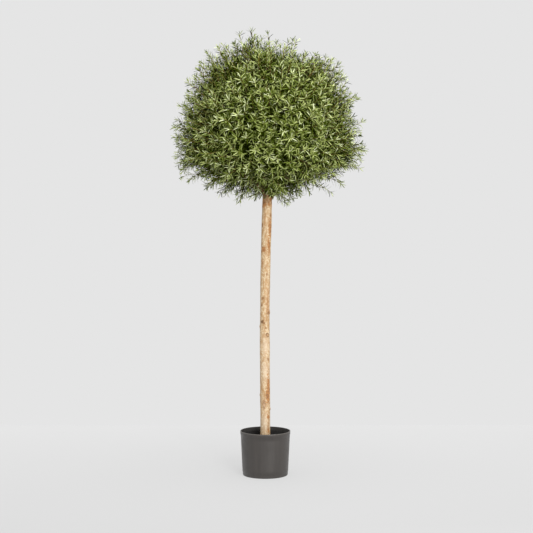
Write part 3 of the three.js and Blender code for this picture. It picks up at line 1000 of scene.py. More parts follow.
@dataclass
class Pole:
    """The bare pole: upright in the pot, bowed a little to the left, its head leaning right."""

    foot_level: float
    head_level: float
    straight_level: float
    foot_radius: float = 17.4 * MM
    radius: float = 16.5 * MM
    head_radius: float = 14.6 * MM
    bow: float = -3.3 * MM
    lean: float = 8 * MM
    lean_back: float = 3 * MM
    flare_share: float = 0.3
    taper_from: float = 0.85
    swell: float = 0.45 * MM
    facet_depth: float = 0.7 * MM
    fibre_depth: float = 0.22 * MM
    bark_from: float = 903 * MM
    bark_edge: float = 26 * MM
    bark_fade: float = 3 * MM
    bark_least: float = 0.45
    bark_lift: float = 0.3 * MM
    bark_rough: float = 0.6 * MM
    worn_between: Span = (0.35, 0.65)
    dome: float = 9 * MM
    dome_end: float = 0.999
    sides: int = 96
    rows: int = 880
    ragged: Span = (0.3, 1.7)
    mark_edge: Span = (1.15, 0.85)
    rim_width: float = 0.22
    frayed: float = 0.4
    raised_round: float = 1 * MM
    back_marks: int = 34
    back_turns: Span = (95, 265)
    back_levels: Span = (155, 895)
    back_widths: tuple[Span, Span] = ((7, 13), (4, 8))
    back_lengths: tuple[Span, Span] = ((1.5, 6), (1, 1.5))
    back_kinds: tuple[tuple[MarkKind, float], ...] = (
        (MarkKind.PATCH, 0.25), (MarkKind.STAIN, 0.3), (MarkKind.SPOT, 0.2),
        (MarkKind.KNOT, 0.1), (MarkKind.FLUSH, 0.15))
    seed: int = 17
    marks: tuple[Mark, ...] = tuple(Mark(kind, *place) for kind, places in (
        (MarkKind.PATCH, (
            (286, 42, 11, 92), (272, 32, 14, 48), (198, 38, 10, 15), (152, 36, 6, 12),
            (762, -29, 17, 20), (776, 34, 10, 44), (832, 43, 11, 60))),
        (MarkKind.STAIN, (
            (306, 30, 7, 60), (240, -13, 13, 32), (162, 38, 8, 42), (580, 35, 11, 95),
            (553, 42, 12, 30), (716, -40, 7, 26), (752, 38, 9, 30), (834, 44, 13, 66),
            (862, -26, 7, 52))),
        (MarkKind.SPOT, (
            (222, 72, 5, 8), (393, 42, 5, 9), (499, 12, 4, 5), (516, -8, 8, 6), (549, 52, 12, 12),
            (576, -40, 8, 9), (598, -29, 7, 8), (678, 21, 6, 7), (843, -58, 6, 15),
            (876, 50, 6, 11))),
        (MarkKind.NUB, ((224, 78, 6, 9), (271, -84, 6, 10), (502, -84, 6, 9), (550, 80, 8, 11))),
        # The flush at 180 mm, just above the rim, is painted light that lightens the pole where the
        # pot shades it; the other flushes are the wood's own.
        (MarkKind.FLUSH, ((180, -8, 24, 60), (352, 4, 26, 70), (438, 8, 24, 60))),
        (MarkKind.SCAR, ((238, -14, 9, 24),)),
        (MarkKind.RING, ((475, 37, 11, 12),)),
        (MarkKind.KNOT, ((519, -33, 12, 9),)),
    ) for place in places)

    def middle(self, levels: Array) -> Array:
        """The middle line: bowed above the pot, and leaning.

        Args:
            levels: Heights.

        Returns:
            A point for each height. Above the pot the line is bowed by the square of a sine and
            leans by the square of the share of the free length.
        """
        length = self.head_level - self.straight_level
        free = np.clip((levels - self.straight_level) / length, 0, None)
        side = self.bow * np.sin(np.pi * np.minimum(free, 1)) ** 2 + self.lean * free**2
        return np.stack([side, self.lean_back * free**2, levels], axis=-1)

    def girth(self, levels: Array, turns: Array) -> Array:
        """The radius, without marks and relief.

        Args:
            levels: Heights of the points.
            turns: Their azimuths.

        Returns:
            Radii: a flare at the foot, a taper at the head, and slight bumps of two sines.
        """
        along = (levels - self.foot_level) / (self.head_level - self.foot_level)
        flare = np.clip(1 - along / self.flare_share, 0, None)
        taper = np.clip((along - self.taper_from) / (1 - self.taper_from), 0, None)
        bumps = np.sin(9 * along + 2 * turns) * np.sin(23 * along + 1)
        radius = self.radius + (self.foot_radius - self.radius) * flare
        return radius + (self.head_radius - self.radius) * taper + self.swell * bumps

    def all_marks(self) -> list[Mark]:
        """Every mark.

        Returns:
            The front's marks, and seeded ones of the same kinds round the back. Of their widths
            and lengths (in widths), the second of each pair is for spots and knots.
        """
        random = np.random.default_rng(self.seed)
        kinds, chances = zip(*self.back_kinds)
        lowest, highest = self.back_levels
        drawn = []
        for i in range(self.back_marks):
            kind = kinds[int(random.choice(len(kinds), p=chances))]
            level = lowest + (highest - lowest) * (i + random.random()) / self.back_marks
            small = kind in (MarkKind.SPOT, MarkKind.KNOT)
            width = random.uniform(*self.back_widths[small])
            length = width * random.uniform(*self.back_lengths[small])
            drawn.append(Mark(kind, level, random.uniform(*self.back_turns), width, length))
        return list(self.marks) + drawn

    def mark_values(self, levels: Array, turns: Array, around: Array) -> dict[str, Array]:
        """How much of each mark colour and lift there is at every point.

        Args:
            levels: Heights of the points.
            turns: Azimuths of the points.
            around: The points themselves, which the ragged edges are drawn with.

        Returns:
            Arrays for bark, knot, pink and lift. A mark is an ellipse whose edge is made ragged by
            noise, and where two meet the stronger one shows.
        """
        coarse, fine = Noise.RAGGED.at(around), Noise.FRAYED.at(around)
        least, most = self.ragged
        ragged = least + (most - least) * ((1 - self.frayed) * coarse + self.frayed * fine)
        values = {title: np.zeros_like(levels) for title in ("bark", "knot", "pink", "lift")}
        for mark in self.all_marks():
            look = mark.kind.value
            apart = (turns - np.radians(mark.turn - 90) + np.pi) % FULL_TURN - np.pi
            across = apart * self.radius / (mark.width * MM / 2)
            along = (levels - mark.level * MM) / (mark.length * MM / 2)
            far = np.hypot(across, along) * ragged
            inside = smooth_step(*self.mark_edge, far)
            rim = np.exp(-(((far - self.mark_edge[1]) / self.rim_width) ** 2))
            bell = np.exp(-(far**2))
            shape = bell if look.knot or look.lift > self.raised_round else inside
            for title, added in (("bark", look.bark * inside), ("pink", look.pink * bell),
                                 ("knot", look.knot * bell + look.ringed * rim),
                                 ("lift", look.lift * shape)):
                values[title] = np.maximum(values[title], added)
        return values

    def build(self) -> None:
        """Carries the section up the middle line, with marks and relief, and dresses it.

        The relief is shaved facets and fibres, both noise drawn out along the pole. Some bark is
        left on the head, above a ragged edge, and the head is a low dome.
        """
        rows = np.linspace(self.foot_level, self.head_level, self.rows)
        turns, levels = np.meshgrid(spread_round(self.sides), rows)
        outward = np.stack([np.cos(turns), np.sin(turns), np.zeros_like(turns)], axis=-1)
        around = outward * self.radius
        around[..., 2] = levels
        values = self.mark_values(levels, turns, around)
        edge = self.bark_from + self.bark_edge * (Noise.BARK_EDGE.at(around) - 0.5)
        sleeve = smooth_step(-self.bark_fade, self.bark_fade, levels - edge)
        worn = smooth_step(*self.worn_between, Noise.BARK_WORN.at(around))
        left = sleeve * (self.bark_least + (1 - self.bark_least) * worn)
        values["bark"] = np.maximum(values["bark"], left)
        facets = self.facet_depth * (Noise.FACETS.at(around) - 0.5)
        fibres = self.fibre_depth * (Noise.FIBRES.at(around) - 0.5)
        rough = sleeve * (self.bark_lift + self.bark_rough * Noise.BARK_ROUGH.at(around))
        lift = values.pop("lift") + (facets + fibres) + rough
        domed = np.clip((levels - self.head_level + self.dome) / self.dome, 0, self.dome_end)
        radius = (self.girth(levels, turns) + lift) * np.sqrt(1 - domed**2)
        line = self.middle(rows)
        skin = closed_tube(line[:, None] + outward * radius[..., None], line[0], line[-1])
        skin.values = {title: np.append(grid.ravel(), [0.0, 1.0]) for title, grid in values.items()}
        dressed(skin, "peeled_pole", PeeledSoftwood(), ["trunk"])

    def clear(self, points: Array, margin: float) -> Array:
        """Whether points stay a margin away from the pole's surface, or are above its head."""
        apart = np.linalg.norm((points - self.middle(points[..., 2]))[..., :2], axis=-1)
        return (apart > self.radius + margin) | (points[..., 2] > self.head_level)


# ---- Crown ----


@dataclass(frozen=True)
class Lobe:
    """A swell of the crown: its azimuth, elevation and half width in degrees, and its share."""

    azimuth: float
    elevation: float
    half_width: float
    swell: float


@dataclass
class CrownShape:
    """The outline that the leaf tips reach: a flattened dome over a shallow bowl, with lobes."""

    centre: Array
    radius: float = 306 * MM
    rise: float = 376 * MM
    drop: float = 172 * MM
    dense_share: float = 0.83
    lobes: tuple[Lobe, ...] = tuple(Lobe(*row) for row in (
        (180, 66, 24, 0.07), (180, 79, 9, 0.035), (0, 50, 12, 0.07), (0, 80, 10, -0.03),
        (180, 21, 9, 0.035), (180, 5, 9, 0.06), (0, 2, 16, 0.08), (0, 25, 9, 0.03),
        (0, -14, 5, -0.05), (180, -17, 5, -0.04)))
    small_lobes: int = 22
    small_half_width: float = 17
    small_swell: float = 0.05
    small_seed: int = 11

    def all_lobes(self) -> list[Lobe]:
        """Every lobe.

        Returns:
            The named lobes, and the small seeded ones spread by the golden angle.
        """
        drawn = source_numbers(self.small_seed, self.small_lobes)
        order = np.arange(self.small_lobes)
        elevations = np.degrees(np.arcsin(1 - 2 * (order + 0.5) / self.small_lobes))
        azimuths = np.degrees(order * GOLDEN_ANGLE)
        swells = self.small_swell * (2 * drawn - 1)
        small = [Lobe(azimuth, elevation, self.small_half_width, swell)
                 for azimuth, elevation, swell in zip(azimuths, elevations, swells)]
        return list(self.lobes) + small

    def reach(self, headings: Array) -> Array:
        """How far the leaf tips are from the centre.

        Args:
            headings: Unit directions.

        Returns:
            Distances. The plain reach is that of an ellipsoid with one height above the centre and
            another below it. Each lobe adds its share times a bell curve of the angle to it.
        """
        upright = np.where(headings[..., 2] > 0, self.rise, self.drop)
        flat = np.hypot(headings[..., 0], headings[..., 1]) / self.radius
        plain = 1 / np.hypot(flat, headings[..., 2] / upright)
        swell = np.ones(headings.shape[:-1])
        for lobe in self.all_lobes():
            angle = np.arccos(np.clip(headings @ towards(lobe.azimuth, lobe.elevation), -1, 1))
            swell += lobe.swell * np.exp(-((angle / np.radians(lobe.half_width)) ** 2))
        return plain * swell

    def point(self, headings: Array, shares: float | Array, depth: float = 0.0) -> Array:
        """Points at a share of the reach in each direction, less a depth."""
        return self.centre + headings * (self.reach(headings) * shares - depth)[..., None]

    def lattice(self, upper: int, lower: int) -> Array:
        """Headings spread evenly over the crown.

        Args:
            upper: How many there are above the widest level.
            lower: How many there are below it.

        Returns:
            Unit vectors. In each half, heights rise evenly and each turns by the golden angle from
            the one before, on a sphere that is then stretched to the half's own height.
        """
        halves = []
        for count, height in ((upper, self.rise), (lower, -self.drop)):
            order = np.arange(count)
            sine = (order + 0.5) / count
            ring = self.radius * np.sqrt(1 - sine**2)
            turn = order * GOLDEN_ANGLE
            corners = (ring * np.cos(turn), ring * np.sin(turn), height * sine)
            halves.append(np.stack(corners, axis=-1))
        return unit(np.concatenate(halves))


@dataclass(frozen=True)
class Ring:
    """A ring of boughs: their number and elevation, the turn of the first, and where they leave."""

    title: str
    count: int
    elevation: float
    turn: float
    exit_from: float
    exit_to: float
    rise: float


@dataclass
class Boughs:
    """The ten boughs: two rings that leave the pole's head, and the leader on top of it."""

    pole: Pole
    crown: CrownShape
    rings: tuple[Ring, ...] = (
        Ring("lower", 5, -6, 18, 942 * MM, 958 * MM, 50),
        Ring("upper", 4, 41, 45, 973 * MM, 987 * MM, 58),
    )
    root_radius: float = 6.6 * MM
    tip_radius: float = 4.4 * MM
    reach: float = 0.56
    root_depth: float = 12 * MM
    leader_root: float = 8.5 * MM
    leader_tip: float = 5 * MM
    leader_reach: float = 0.62
    clearance: float = 0.3 * MM
    collar: float = 0.55
    collar_length: float = 0.05
    wrinkle: float = 0.5 * MM
    sides: int = 28
    rows: int = 70
    titles: list[str] = field(default_factory=list)
    headings: Array = field(default_factory=lambda: np.zeros((0, 3)))
    limbs: Limbs | None = None

    def line(self, root: Array, leaving: Array, tip: Array, heading: Array) -> Array:
        """Control points of a bough that leaves one way and turns halfway towards its mass.

        Args:
            root: Where it starts.
            leaving: The unit direction in which it leaves.
            tip: Where it ends.
            heading: The unit direction of its mass of leaves from the crown's centre.

        Returns:
            Four points, the middle ones a third of the length from either end.
        """
        third = np.linalg.norm(tip - root) / 3
        aim = unit(0.5 * unit(tip - root) + 0.5 * heading)
        return np.stack([root, root + leaving * third, tip - aim * third, tip])

    def plan(self) -> None:
        """Lays out every bough as the solids have it."""
        lines, headings = [], []
        for ring in self.rings:
            for i in range(ring.count):
                azimuth = ring.turn + 360 * i / ring.count
                order = ((2 * i) % ring.count) / (ring.count - 1)
                level = ring.exit_from + (ring.exit_to - ring.exit_from) * order
                leaving, heading = towards(azimuth, ring.rise), towards(azimuth, ring.elevation)
                start = self.pole.middle(np.array(level)) + towards(azimuth, 0) * self.pole.radius
                dense = self.crown.point(heading, self.crown.dense_share)
                tip = start + (dense - start) * self.reach
                lines.append(self.line(start - leaving * self.root_depth, leaving, tip, heading))
                headings.append(heading)
                self.titles.append(f"{ring.title}_bough_{i + 1}")
        start = self.pole.middle(np.array(self.pole.head_level)) + UP * self.clearance
        tip = start + (self.crown.point(UP, self.crown.dense_share) - start) * self.leader_reach
        ringed = len(lines)
        lines.append(self.line(start, UP, tip, UP))
        self.titles.append("leader_bough")
        self.headings = np.array([*headings, UP])
        roots = np.array([self.root_radius] * ringed + [self.leader_root])
        tips = np.array([self.tip_radius] * ringed + [self.leader_tip])
        self.limbs = Limbs(np.array(lines), roots, tips)

    def build(self) -> None:
        """Makes each bough with a collar at its root and wrinkled bark, and dresses it."""
        shares = self.limbs.places(self.rows)
        spokes = self.limbs.spokes(shares, self.sides)
        collar = 1 + self.collar * np.exp(-shares / self.collar_length)
        radii = (self.limbs.radii(shares) * collar)[..., None, None]
        middles = self.limbs.points(shares)[:, :, None]
        plain = middles + radii * spokes
        wrinkles = (Noise.WRINKLES.at(plain) + Noise.FOLDS.at(plain) - 1)[..., None]
        rings = middles + (radii + self.wrinkle * wrinkles) * spokes
        for title, rows, line in zip(self.titles, rings, middles[:, :, 0]):
            skin = closed_tube(rows, line[0], line[-1])
            dressed(skin, f"{title}_bark", TwigBark(), [title])


@dataclass(frozen=True)
class Sprig:
    """A spray that stands out of the crown: azimuth, elevation, and its tip's reach in mm."""

    azimuth: float
    elevation: float
    reach: float


@dataclass
class Foliage:
    """The crown's growth, from the boughs' tips to the leaves."""

    pole: Pole
    crown: CrownShape
    boughs: Boughs
    seed: int = 7

    # How many tips of each order end above the crown's widest level and below it.
    branchlet_tips: tuple[int, int] = (68, 33)
    twig_tips: tuple[int, int] = (430, 210)
    shoot_tips: tuple[int, int] = (2500, 1150)

    # Root and tip radius, corners and rows of each order, and the share of the reach it ends at.
    stem_radii: Span = (4.4 * MM, 2.6 * MM)
    branchlet_radii: Span = (3.0 * MM, 1.9 * MM)
    twig_radii: Span = (1.8 * MM, 1.1 * MM)
    shoot_radii: Span = (1.1 * MM, 0.6 * MM)
    stem_grid: tuple[int, int] = (10, 12)
    branchlet_grid: tuple[int, int] = (7, 9)
    twig_grid: tuple[int, int] = (5, 7)
    shoot_grid: tuple[int, int] = (3, 5)
    stem_share: float = 0.74
    branchlet_share: float = 0.64
    twig_share: float = 0.79

    # Where branchlets leave: 0 to 1 is on a bough and 1 to 2 on its stem. From chain_most, each
    # chain_angle between the bough's heading and the branchlet's takes chain_fall off.
    chain_least: float = 0.55
    chain_most: float = 1.9
    chain_fall: float = 1.1
    chain_angle: float = 60
    branchlet_swell: float = 0.012
    branchlet_scatter: float = 0.3
    twig_swell: float = 0.012
    twig_scatter: float = 0.35
    twig_length: float = 0.07
    twig_length_spread: float = 0.02
    first_start: float = 0.1
    start_places: int = 19

    # The layers of shoots: their part of all shoots, and the shares of the reach they end between.
    layers: tuple[Triple, ...] = ((0.34, 0.9, 1.065), (0.3, 0.81, 0.93), (0.36, 0.7, 0.85))
    shoot_scatter: float = 0.012
    thinning: float = 1.5
    top_between: Span = (0.55, 0.95)
    foot_between: Span = (-0.12, -0.5)
    loose_outer: float = 0.2
    loose_inner: float = 0.04
    hanging: float = 0.2
    foot_outer: float = 0.12
    foot_inner: float = 0.16
    limit: float = 1.08
    gathered: float = 0.4
    gathered_from: float = 0.96
    tuck: float = 19 * MM
    shoot_length: float = 58 * MM
    length_scale: Span = (0.85, 1.25)
    wander: float = 0.24
    lift: float = 0.12

    # Every so many shoots one stands out, and so do four shoots at each named sprig.
    sprig_every: int = 37
    sprig_extra: float = 0.07
    sprig_shoots: int = 4
    sprig_scatter: float = 0.06
    sprig_short: float = 0.04
    sprig_length: float = 85 * MM
    sprig_droop: float = 0.45
    sprigs: tuple[Sprig, ...] = tuple(Sprig(*row) for row in (
        (180, 79, 407), (180, 83, 387), (180, 87, 366), (180, 66, 389), (188, 63, 382),
        (180, 60, 398), (168, 57, 378), (191, 56, 374), (180, 54, 360), (172, 50, 340),
        (186, 46, 338), (176, 40, 330), (180, 33, 332), (180, 26, 340), (180, 7, 343),
        (180, -2, 334), (171, -6, 314), (188, -8, 322), (180, -15, 316), (180, -10, 322),
        (180, -23, 308), (180, -33, 262), (180, -39, 250), (180, -47, 225), (180, -60, 222),
        (180, -77, 180), (0, 84, 354), (0, 77, 350), (0, 72, 354), (0, 62, 365),
        (-9, 65, 352), (8, 61, 360), (-10, 57, 372), (0, 54, 384), (12, 50, 372),
        (0, 48, 378), (-12, 44, 358), (0, 42, 350), (8, 37, 346), (0, 33, 341),
        (-14, 52, 350), (-15, 34, 336), (14, 28, 334), (0, 25, 333), (0, 11, 332),
        (0, -1, 342), (8, -3, 328), (0, -10, 338), (-6, -6, 334), (0, -34, 280),
        (0, -54, 212), (0, -66, 196), (0, -74, 204), (25, -80, 178), (215, -80, 178),
        (250, -81, 174), (290, -80, 170)))

    # Short shoots that hang from the lower boughs and hide where these leave the pole.
    collar_shares: tuple[float, ...] = (0.09, 0.14, 0.19, 0.25, 0.31, 0.38)
    collar_length: float = 46 * MM
    collar_scale: Span = (0.7, 1.2)
    collar_aim: Triple = (0.5, 0.4, -0.45)
    collar_scatter: float = 0.45

    # A shoot that comes nearer to the pole than this, at any of its even places, is left out.
    pole_gap: float = 3 * MM
    pole_places: int = 6

    def children(self, tips: Array, parents: Limbs) -> Array:
        """The number of the parent whose tip is nearest to each new tip."""
        return nearest(tips, parents.controls[:, 3])

    def depth_on(self, parents: Limbs, order: Array, radial: Array) -> Array:
        """Where each new limb starts on its parent.

        Args:
            parents: The limbs that carry the new ones.
            order: The number of each new limb's parent.
            radial: How far from the crown's centre each one should start.

        Returns:
            The share along each parent, out of even ones, that comes nearest to that distance.
        """
        shares = np.linspace(self.first_start, 1, self.start_places)
        grid = np.broadcast_to(shares, (len(order), len(shares)))
        away = np.linalg.norm(parents.kept(order).points(grid) - self.crown.centre, axis=-1)
        return shares[np.argmin(np.abs(away - radial[:, None]), axis=1)]

    def branchlets(self, stems: Limbs, random: Random) -> tuple[Limbs, Array]:
        """Branchlets from the boughs and, nearer their mass's middle, from the stems.

        Args:
            stems: The stems that carry the boughs on.
            random: The crown's seeded numbers.

        Returns:
            The branchlets, and how far each swells the crown.
        """
        crown, boughs = self.crown, self.boughs
        headings = crown.lattice(*self.branchlet_tips)
        own = crown.point(boughs.headings, crown.dense_share)
        order = nearest(crown.point(headings, crown.dense_share), own)
        cosines = np.sum(headings * boughs.headings[order], axis=-1)
        angles = np.degrees(np.arccos(np.clip(cosines, -1, 1)))
        chain = np.clip(self.chain_most - self.chain_fall * angles / self.chain_angle,
                        self.chain_least, self.chain_most)
        low = chain < 1
        swell = 1 + self.branchlet_swell * random.standard_normal(len(headings))
        tips = crown.point(headings, self.branchlet_share * swell)
        aims = unit(headings + self.branchlet_scatter * random.standard_normal(headings.shape))
        from_bough, from_stem = (
            grown(limbs, order[these], chain[these] - passed, tips[these], aims[these],
                  self.branchlet_radii)
            for limbs, these, passed in ((boughs.limbs, low, 0), (stems, ~low, 1)))
        return from_bough.joined(from_stem), np.concatenate([swell[low], swell[~low]])

    def twigs(self, branchlets: Limbs, swell: Array, random: Random) -> tuple[Limbs, Array, Array]:
        """Twigs from the branchlets.

        Args:
            branchlets: The limbs that carry them.
            swell: How far each branchlet swells the crown.
            random: The crown's seeded numbers.

        Returns:
            The twigs, their headings from the crown's centre, and how far each swells the crown.
        """
        crown = self.crown
        headings = unit(crown.lattice(*self.twig_tips))
        order = self.children(crown.point(headings, self.branchlet_share), branchlets)
        swell = swell[order] + self.twig_swell * random.standard_normal(len(headings))
        tips = crown.point(headings, self.twig_share * swell)
        away = np.linalg.norm(tips - crown.centre, axis=-1)
        radial = away - self.twig_length - self.twig_length_spread * random.random(len(tips))
        starts = self.depth_on(branchlets, order, radial)
        aims = unit(headings + self.twig_scatter * random.standard_normal(headings.shape))
        return grown(branchlets, order, starts, tips, aims, self.twig_radii), headings, swell

    def shoots(self, twigs: Limbs, twig_headings: Array, swell: Array,
               random: Random) -> tuple[Limbs, Array]:
        """Leafy shoots from the twigs: three layers of them all round, and the named sprigs.

        Args:
            twigs: The limbs that carry them.
            twig_headings: The twigs' headings from the crown's centre.
            swell: How far each twig swells the crown.
            random: The crown's seeded numbers.

        Returns:
            The shoots, and the layer of each, from 0 for the outermost.
        """
        crown = self.crown
        headings = crown.lattice(*self.shoot_tips)
        headings = unit(headings + self.shoot_scatter * random.standard_normal(headings.shape))
        count = len(headings)
        order = self.children(crown.point(headings, self.twig_share), twigs)
        parts, least, most = np.array(self.layers).T
        drawn = (np.arange(count) % 3 + random.random(count)) / 3
        layer = np.digitize(drawn, np.cumsum(parts)[:-1])
        share = least[layer] + (most - least)[layer] * random.random(count) ** self.thinning
        share = share * swell[order]
        above = smooth_step(*self.top_between, headings[:, 2])
        below = smooth_step(*self.foot_between, headings[:, 2])
        drawn = random.random(count)
        outer = layer == 0
        share = share - np.where(outer, self.loose_outer, self.loose_inner) * above * drawn
        hung = np.where(outer, self.hanging * drawn**3 - self.foot_outer, -self.foot_inner)
        share = share + below * hung
        apart = np.arange(count) % self.sprig_every == 0
        share = np.minimum(np.where(apart, share + self.sprig_extra, share), self.limit)
        pull = np.where(share > self.gathered_from, self.gathered, 0.0)[:, None]
        headings = unit(headings + pull * (twig_headings[order] - headings))
        layer = np.where(below > 0.5, np.minimum(layer, 1), layer)
        shortest, longest = self.length_scale
        length = self.shoot_length * (shortest + (longest - shortest) * random.random(count))

        named = np.array([towards(one.azimuth, one.elevation) for one in self.sprigs])
        reach = np.array([one.reach * MM for one in self.sprigs]) / crown.reach(named)
        named = np.repeat(named, self.sprig_shoots, axis=0)
        named = unit(named + self.sprig_scatter * random.standard_normal(named.shape))
        behind = np.tile(np.arange(self.sprig_shoots), len(self.sprigs)) * self.sprig_short
        order = np.append(order, self.children(crown.point(named, self.twig_share), twigs))
        headings = np.concatenate([headings, named])
        share = np.append(share, np.repeat(reach, self.sprig_shoots) - behind)
        length = np.append(length, np.full(len(named), self.sprig_length))
        layer = np.append(layer, np.zeros(len(named), dtype=int))

        tips = crown.point(headings, share, self.tuck)
        away = np.linalg.norm(tips - crown.centre, axis=-1)
        starts = self.depth_on(twigs, order, away - length)
        wander = self.wander * random.standard_normal(headings.shape)
        upward = np.full(len(headings), self.lift)
        upward[-len(named) :] = np.where(named[:, 2] < 0, -self.sprig_droop, self.lift)
        aims = unit(headings + wander + upward[:, None] * UP)
        return grown(twigs, order, starts, tips, aims, self.shoot_radii, following=0.35), layer

    def collar(self, random: Random) -> Limbs:
        """Short hanging shoots along the foot of each lower bough.

        Args:
            random: The crown's seeded numbers.

        Returns:
            The shoots. They leave by shares along the bough, outwards and up, with scatter.
        """
        lower = [i for i, title in enumerate(self.boughs.titles) if title.startswith("lower")]
        order = np.repeat(lower, len(self.collar_shares))
        shares = np.tile(self.collar_shares, len(lower))
        chosen = self.boughs.limbs.kept(order)
        roots, along = chosen.points(shares[:, None])[:, 0], chosen.tangents(shares[:, None])[:, 0]
        outward = unit(self.boughs.headings[order] * (1 - UP))
        scatter = self.collar_scatter * random.standard_normal(roots.shape)
        ahead, out, up = self.collar_aim
        aims = unit(ahead * along + out * outward + up * UP + scatter)
        shortest, longest = self.collar_scale
        length = self.collar_length * (shortest + (longest - shortest) * random.random(len(roots)))
        tips = roots + aims * length[:, None]
        return grown(self.boughs.limbs, order, shares, tips, aims, self.shoot_radii, following=0.25)

    def build(self) -> None:
        """Grows the crown from the boughs outwards and dresses its twigs, shoots and leaves."""
        random = np.random.default_rng(self.seed)
        boughs = self.boughs
        count = len(boughs.limbs)
        stem_tips = self.crown.point(boughs.headings, self.stem_share)
        stems = grown(boughs.limbs, np.arange(count), np.ones(count), stem_tips, boughs.headings,
                      self.stem_radii, following=0.9)
        branchlets, swell = self.branchlets(stems, random)
        twigs, headings, swell = self.twigs(branchlets, swell, random)
        shoots, layer = self.shoots(twigs, headings, swell, random)
        collar = self.collar(random)
        shoots = shoots.joined(collar)
        layer = np.append(layer, np.zeros(len(collar), dtype=int))
        lines = shoots.points(shoots.places(self.pole_places))
        free = np.all(self.pole.clear(lines, self.pole_gap), axis=1)
        shoots, layer = shoots.kept(free), layer[free]

        masses = [title.replace("bough", "foliage").replace("leader", "top")
                  for title in boughs.titles]
        wood = stems.swept(*self.stem_grid).joined(branchlets.swept(*self.branchlet_grid))
        wood = wood.joined(twigs.swept(*self.twig_grid))
        dressed(wood, "branching_twigs", TwigBark(), masses)
        young = TwigBark(name="young_green_twig_bark", colour="#7a7632", half_shade="#6a4a2c")
        dressed(shoots.swept(*self.shoot_grid), "leafy_shoots", young, masses)
        Leaves(self.pole, shoots, layer, masses).build()


@dataclass(frozen=True)
class Dye:
    """One dye of the leaves: its colour, and how rough and how bright its gloss is."""

    colour: str
    roughness: float
    specular: float


class Tint(Enum):
    """The leaf dyes, from the shaded inner leaves to the palest young tips."""

    # Lighter and darker copies of one green. Dealt by depth, the darker ones are painted shade inside
    # the crown and the lighter ones painted light outside. The spread from leaf to leaf is the dye's
    # own.
    SHADE = Dye("#1c2402", 0.9, 0.0)
    HALF_SHADE = Dye("#38440a", 0.6, 0.0)
    MID = Dye("#606c2a", 0.5, 0.05)
    BRIGHT = Dye("#85914b", 0.42, 0.35)
    YELLOW = Dye("#a0aa63", 0.38, 0.5)
    PALE = Dye("#b9c190", 0.36, 0.45)


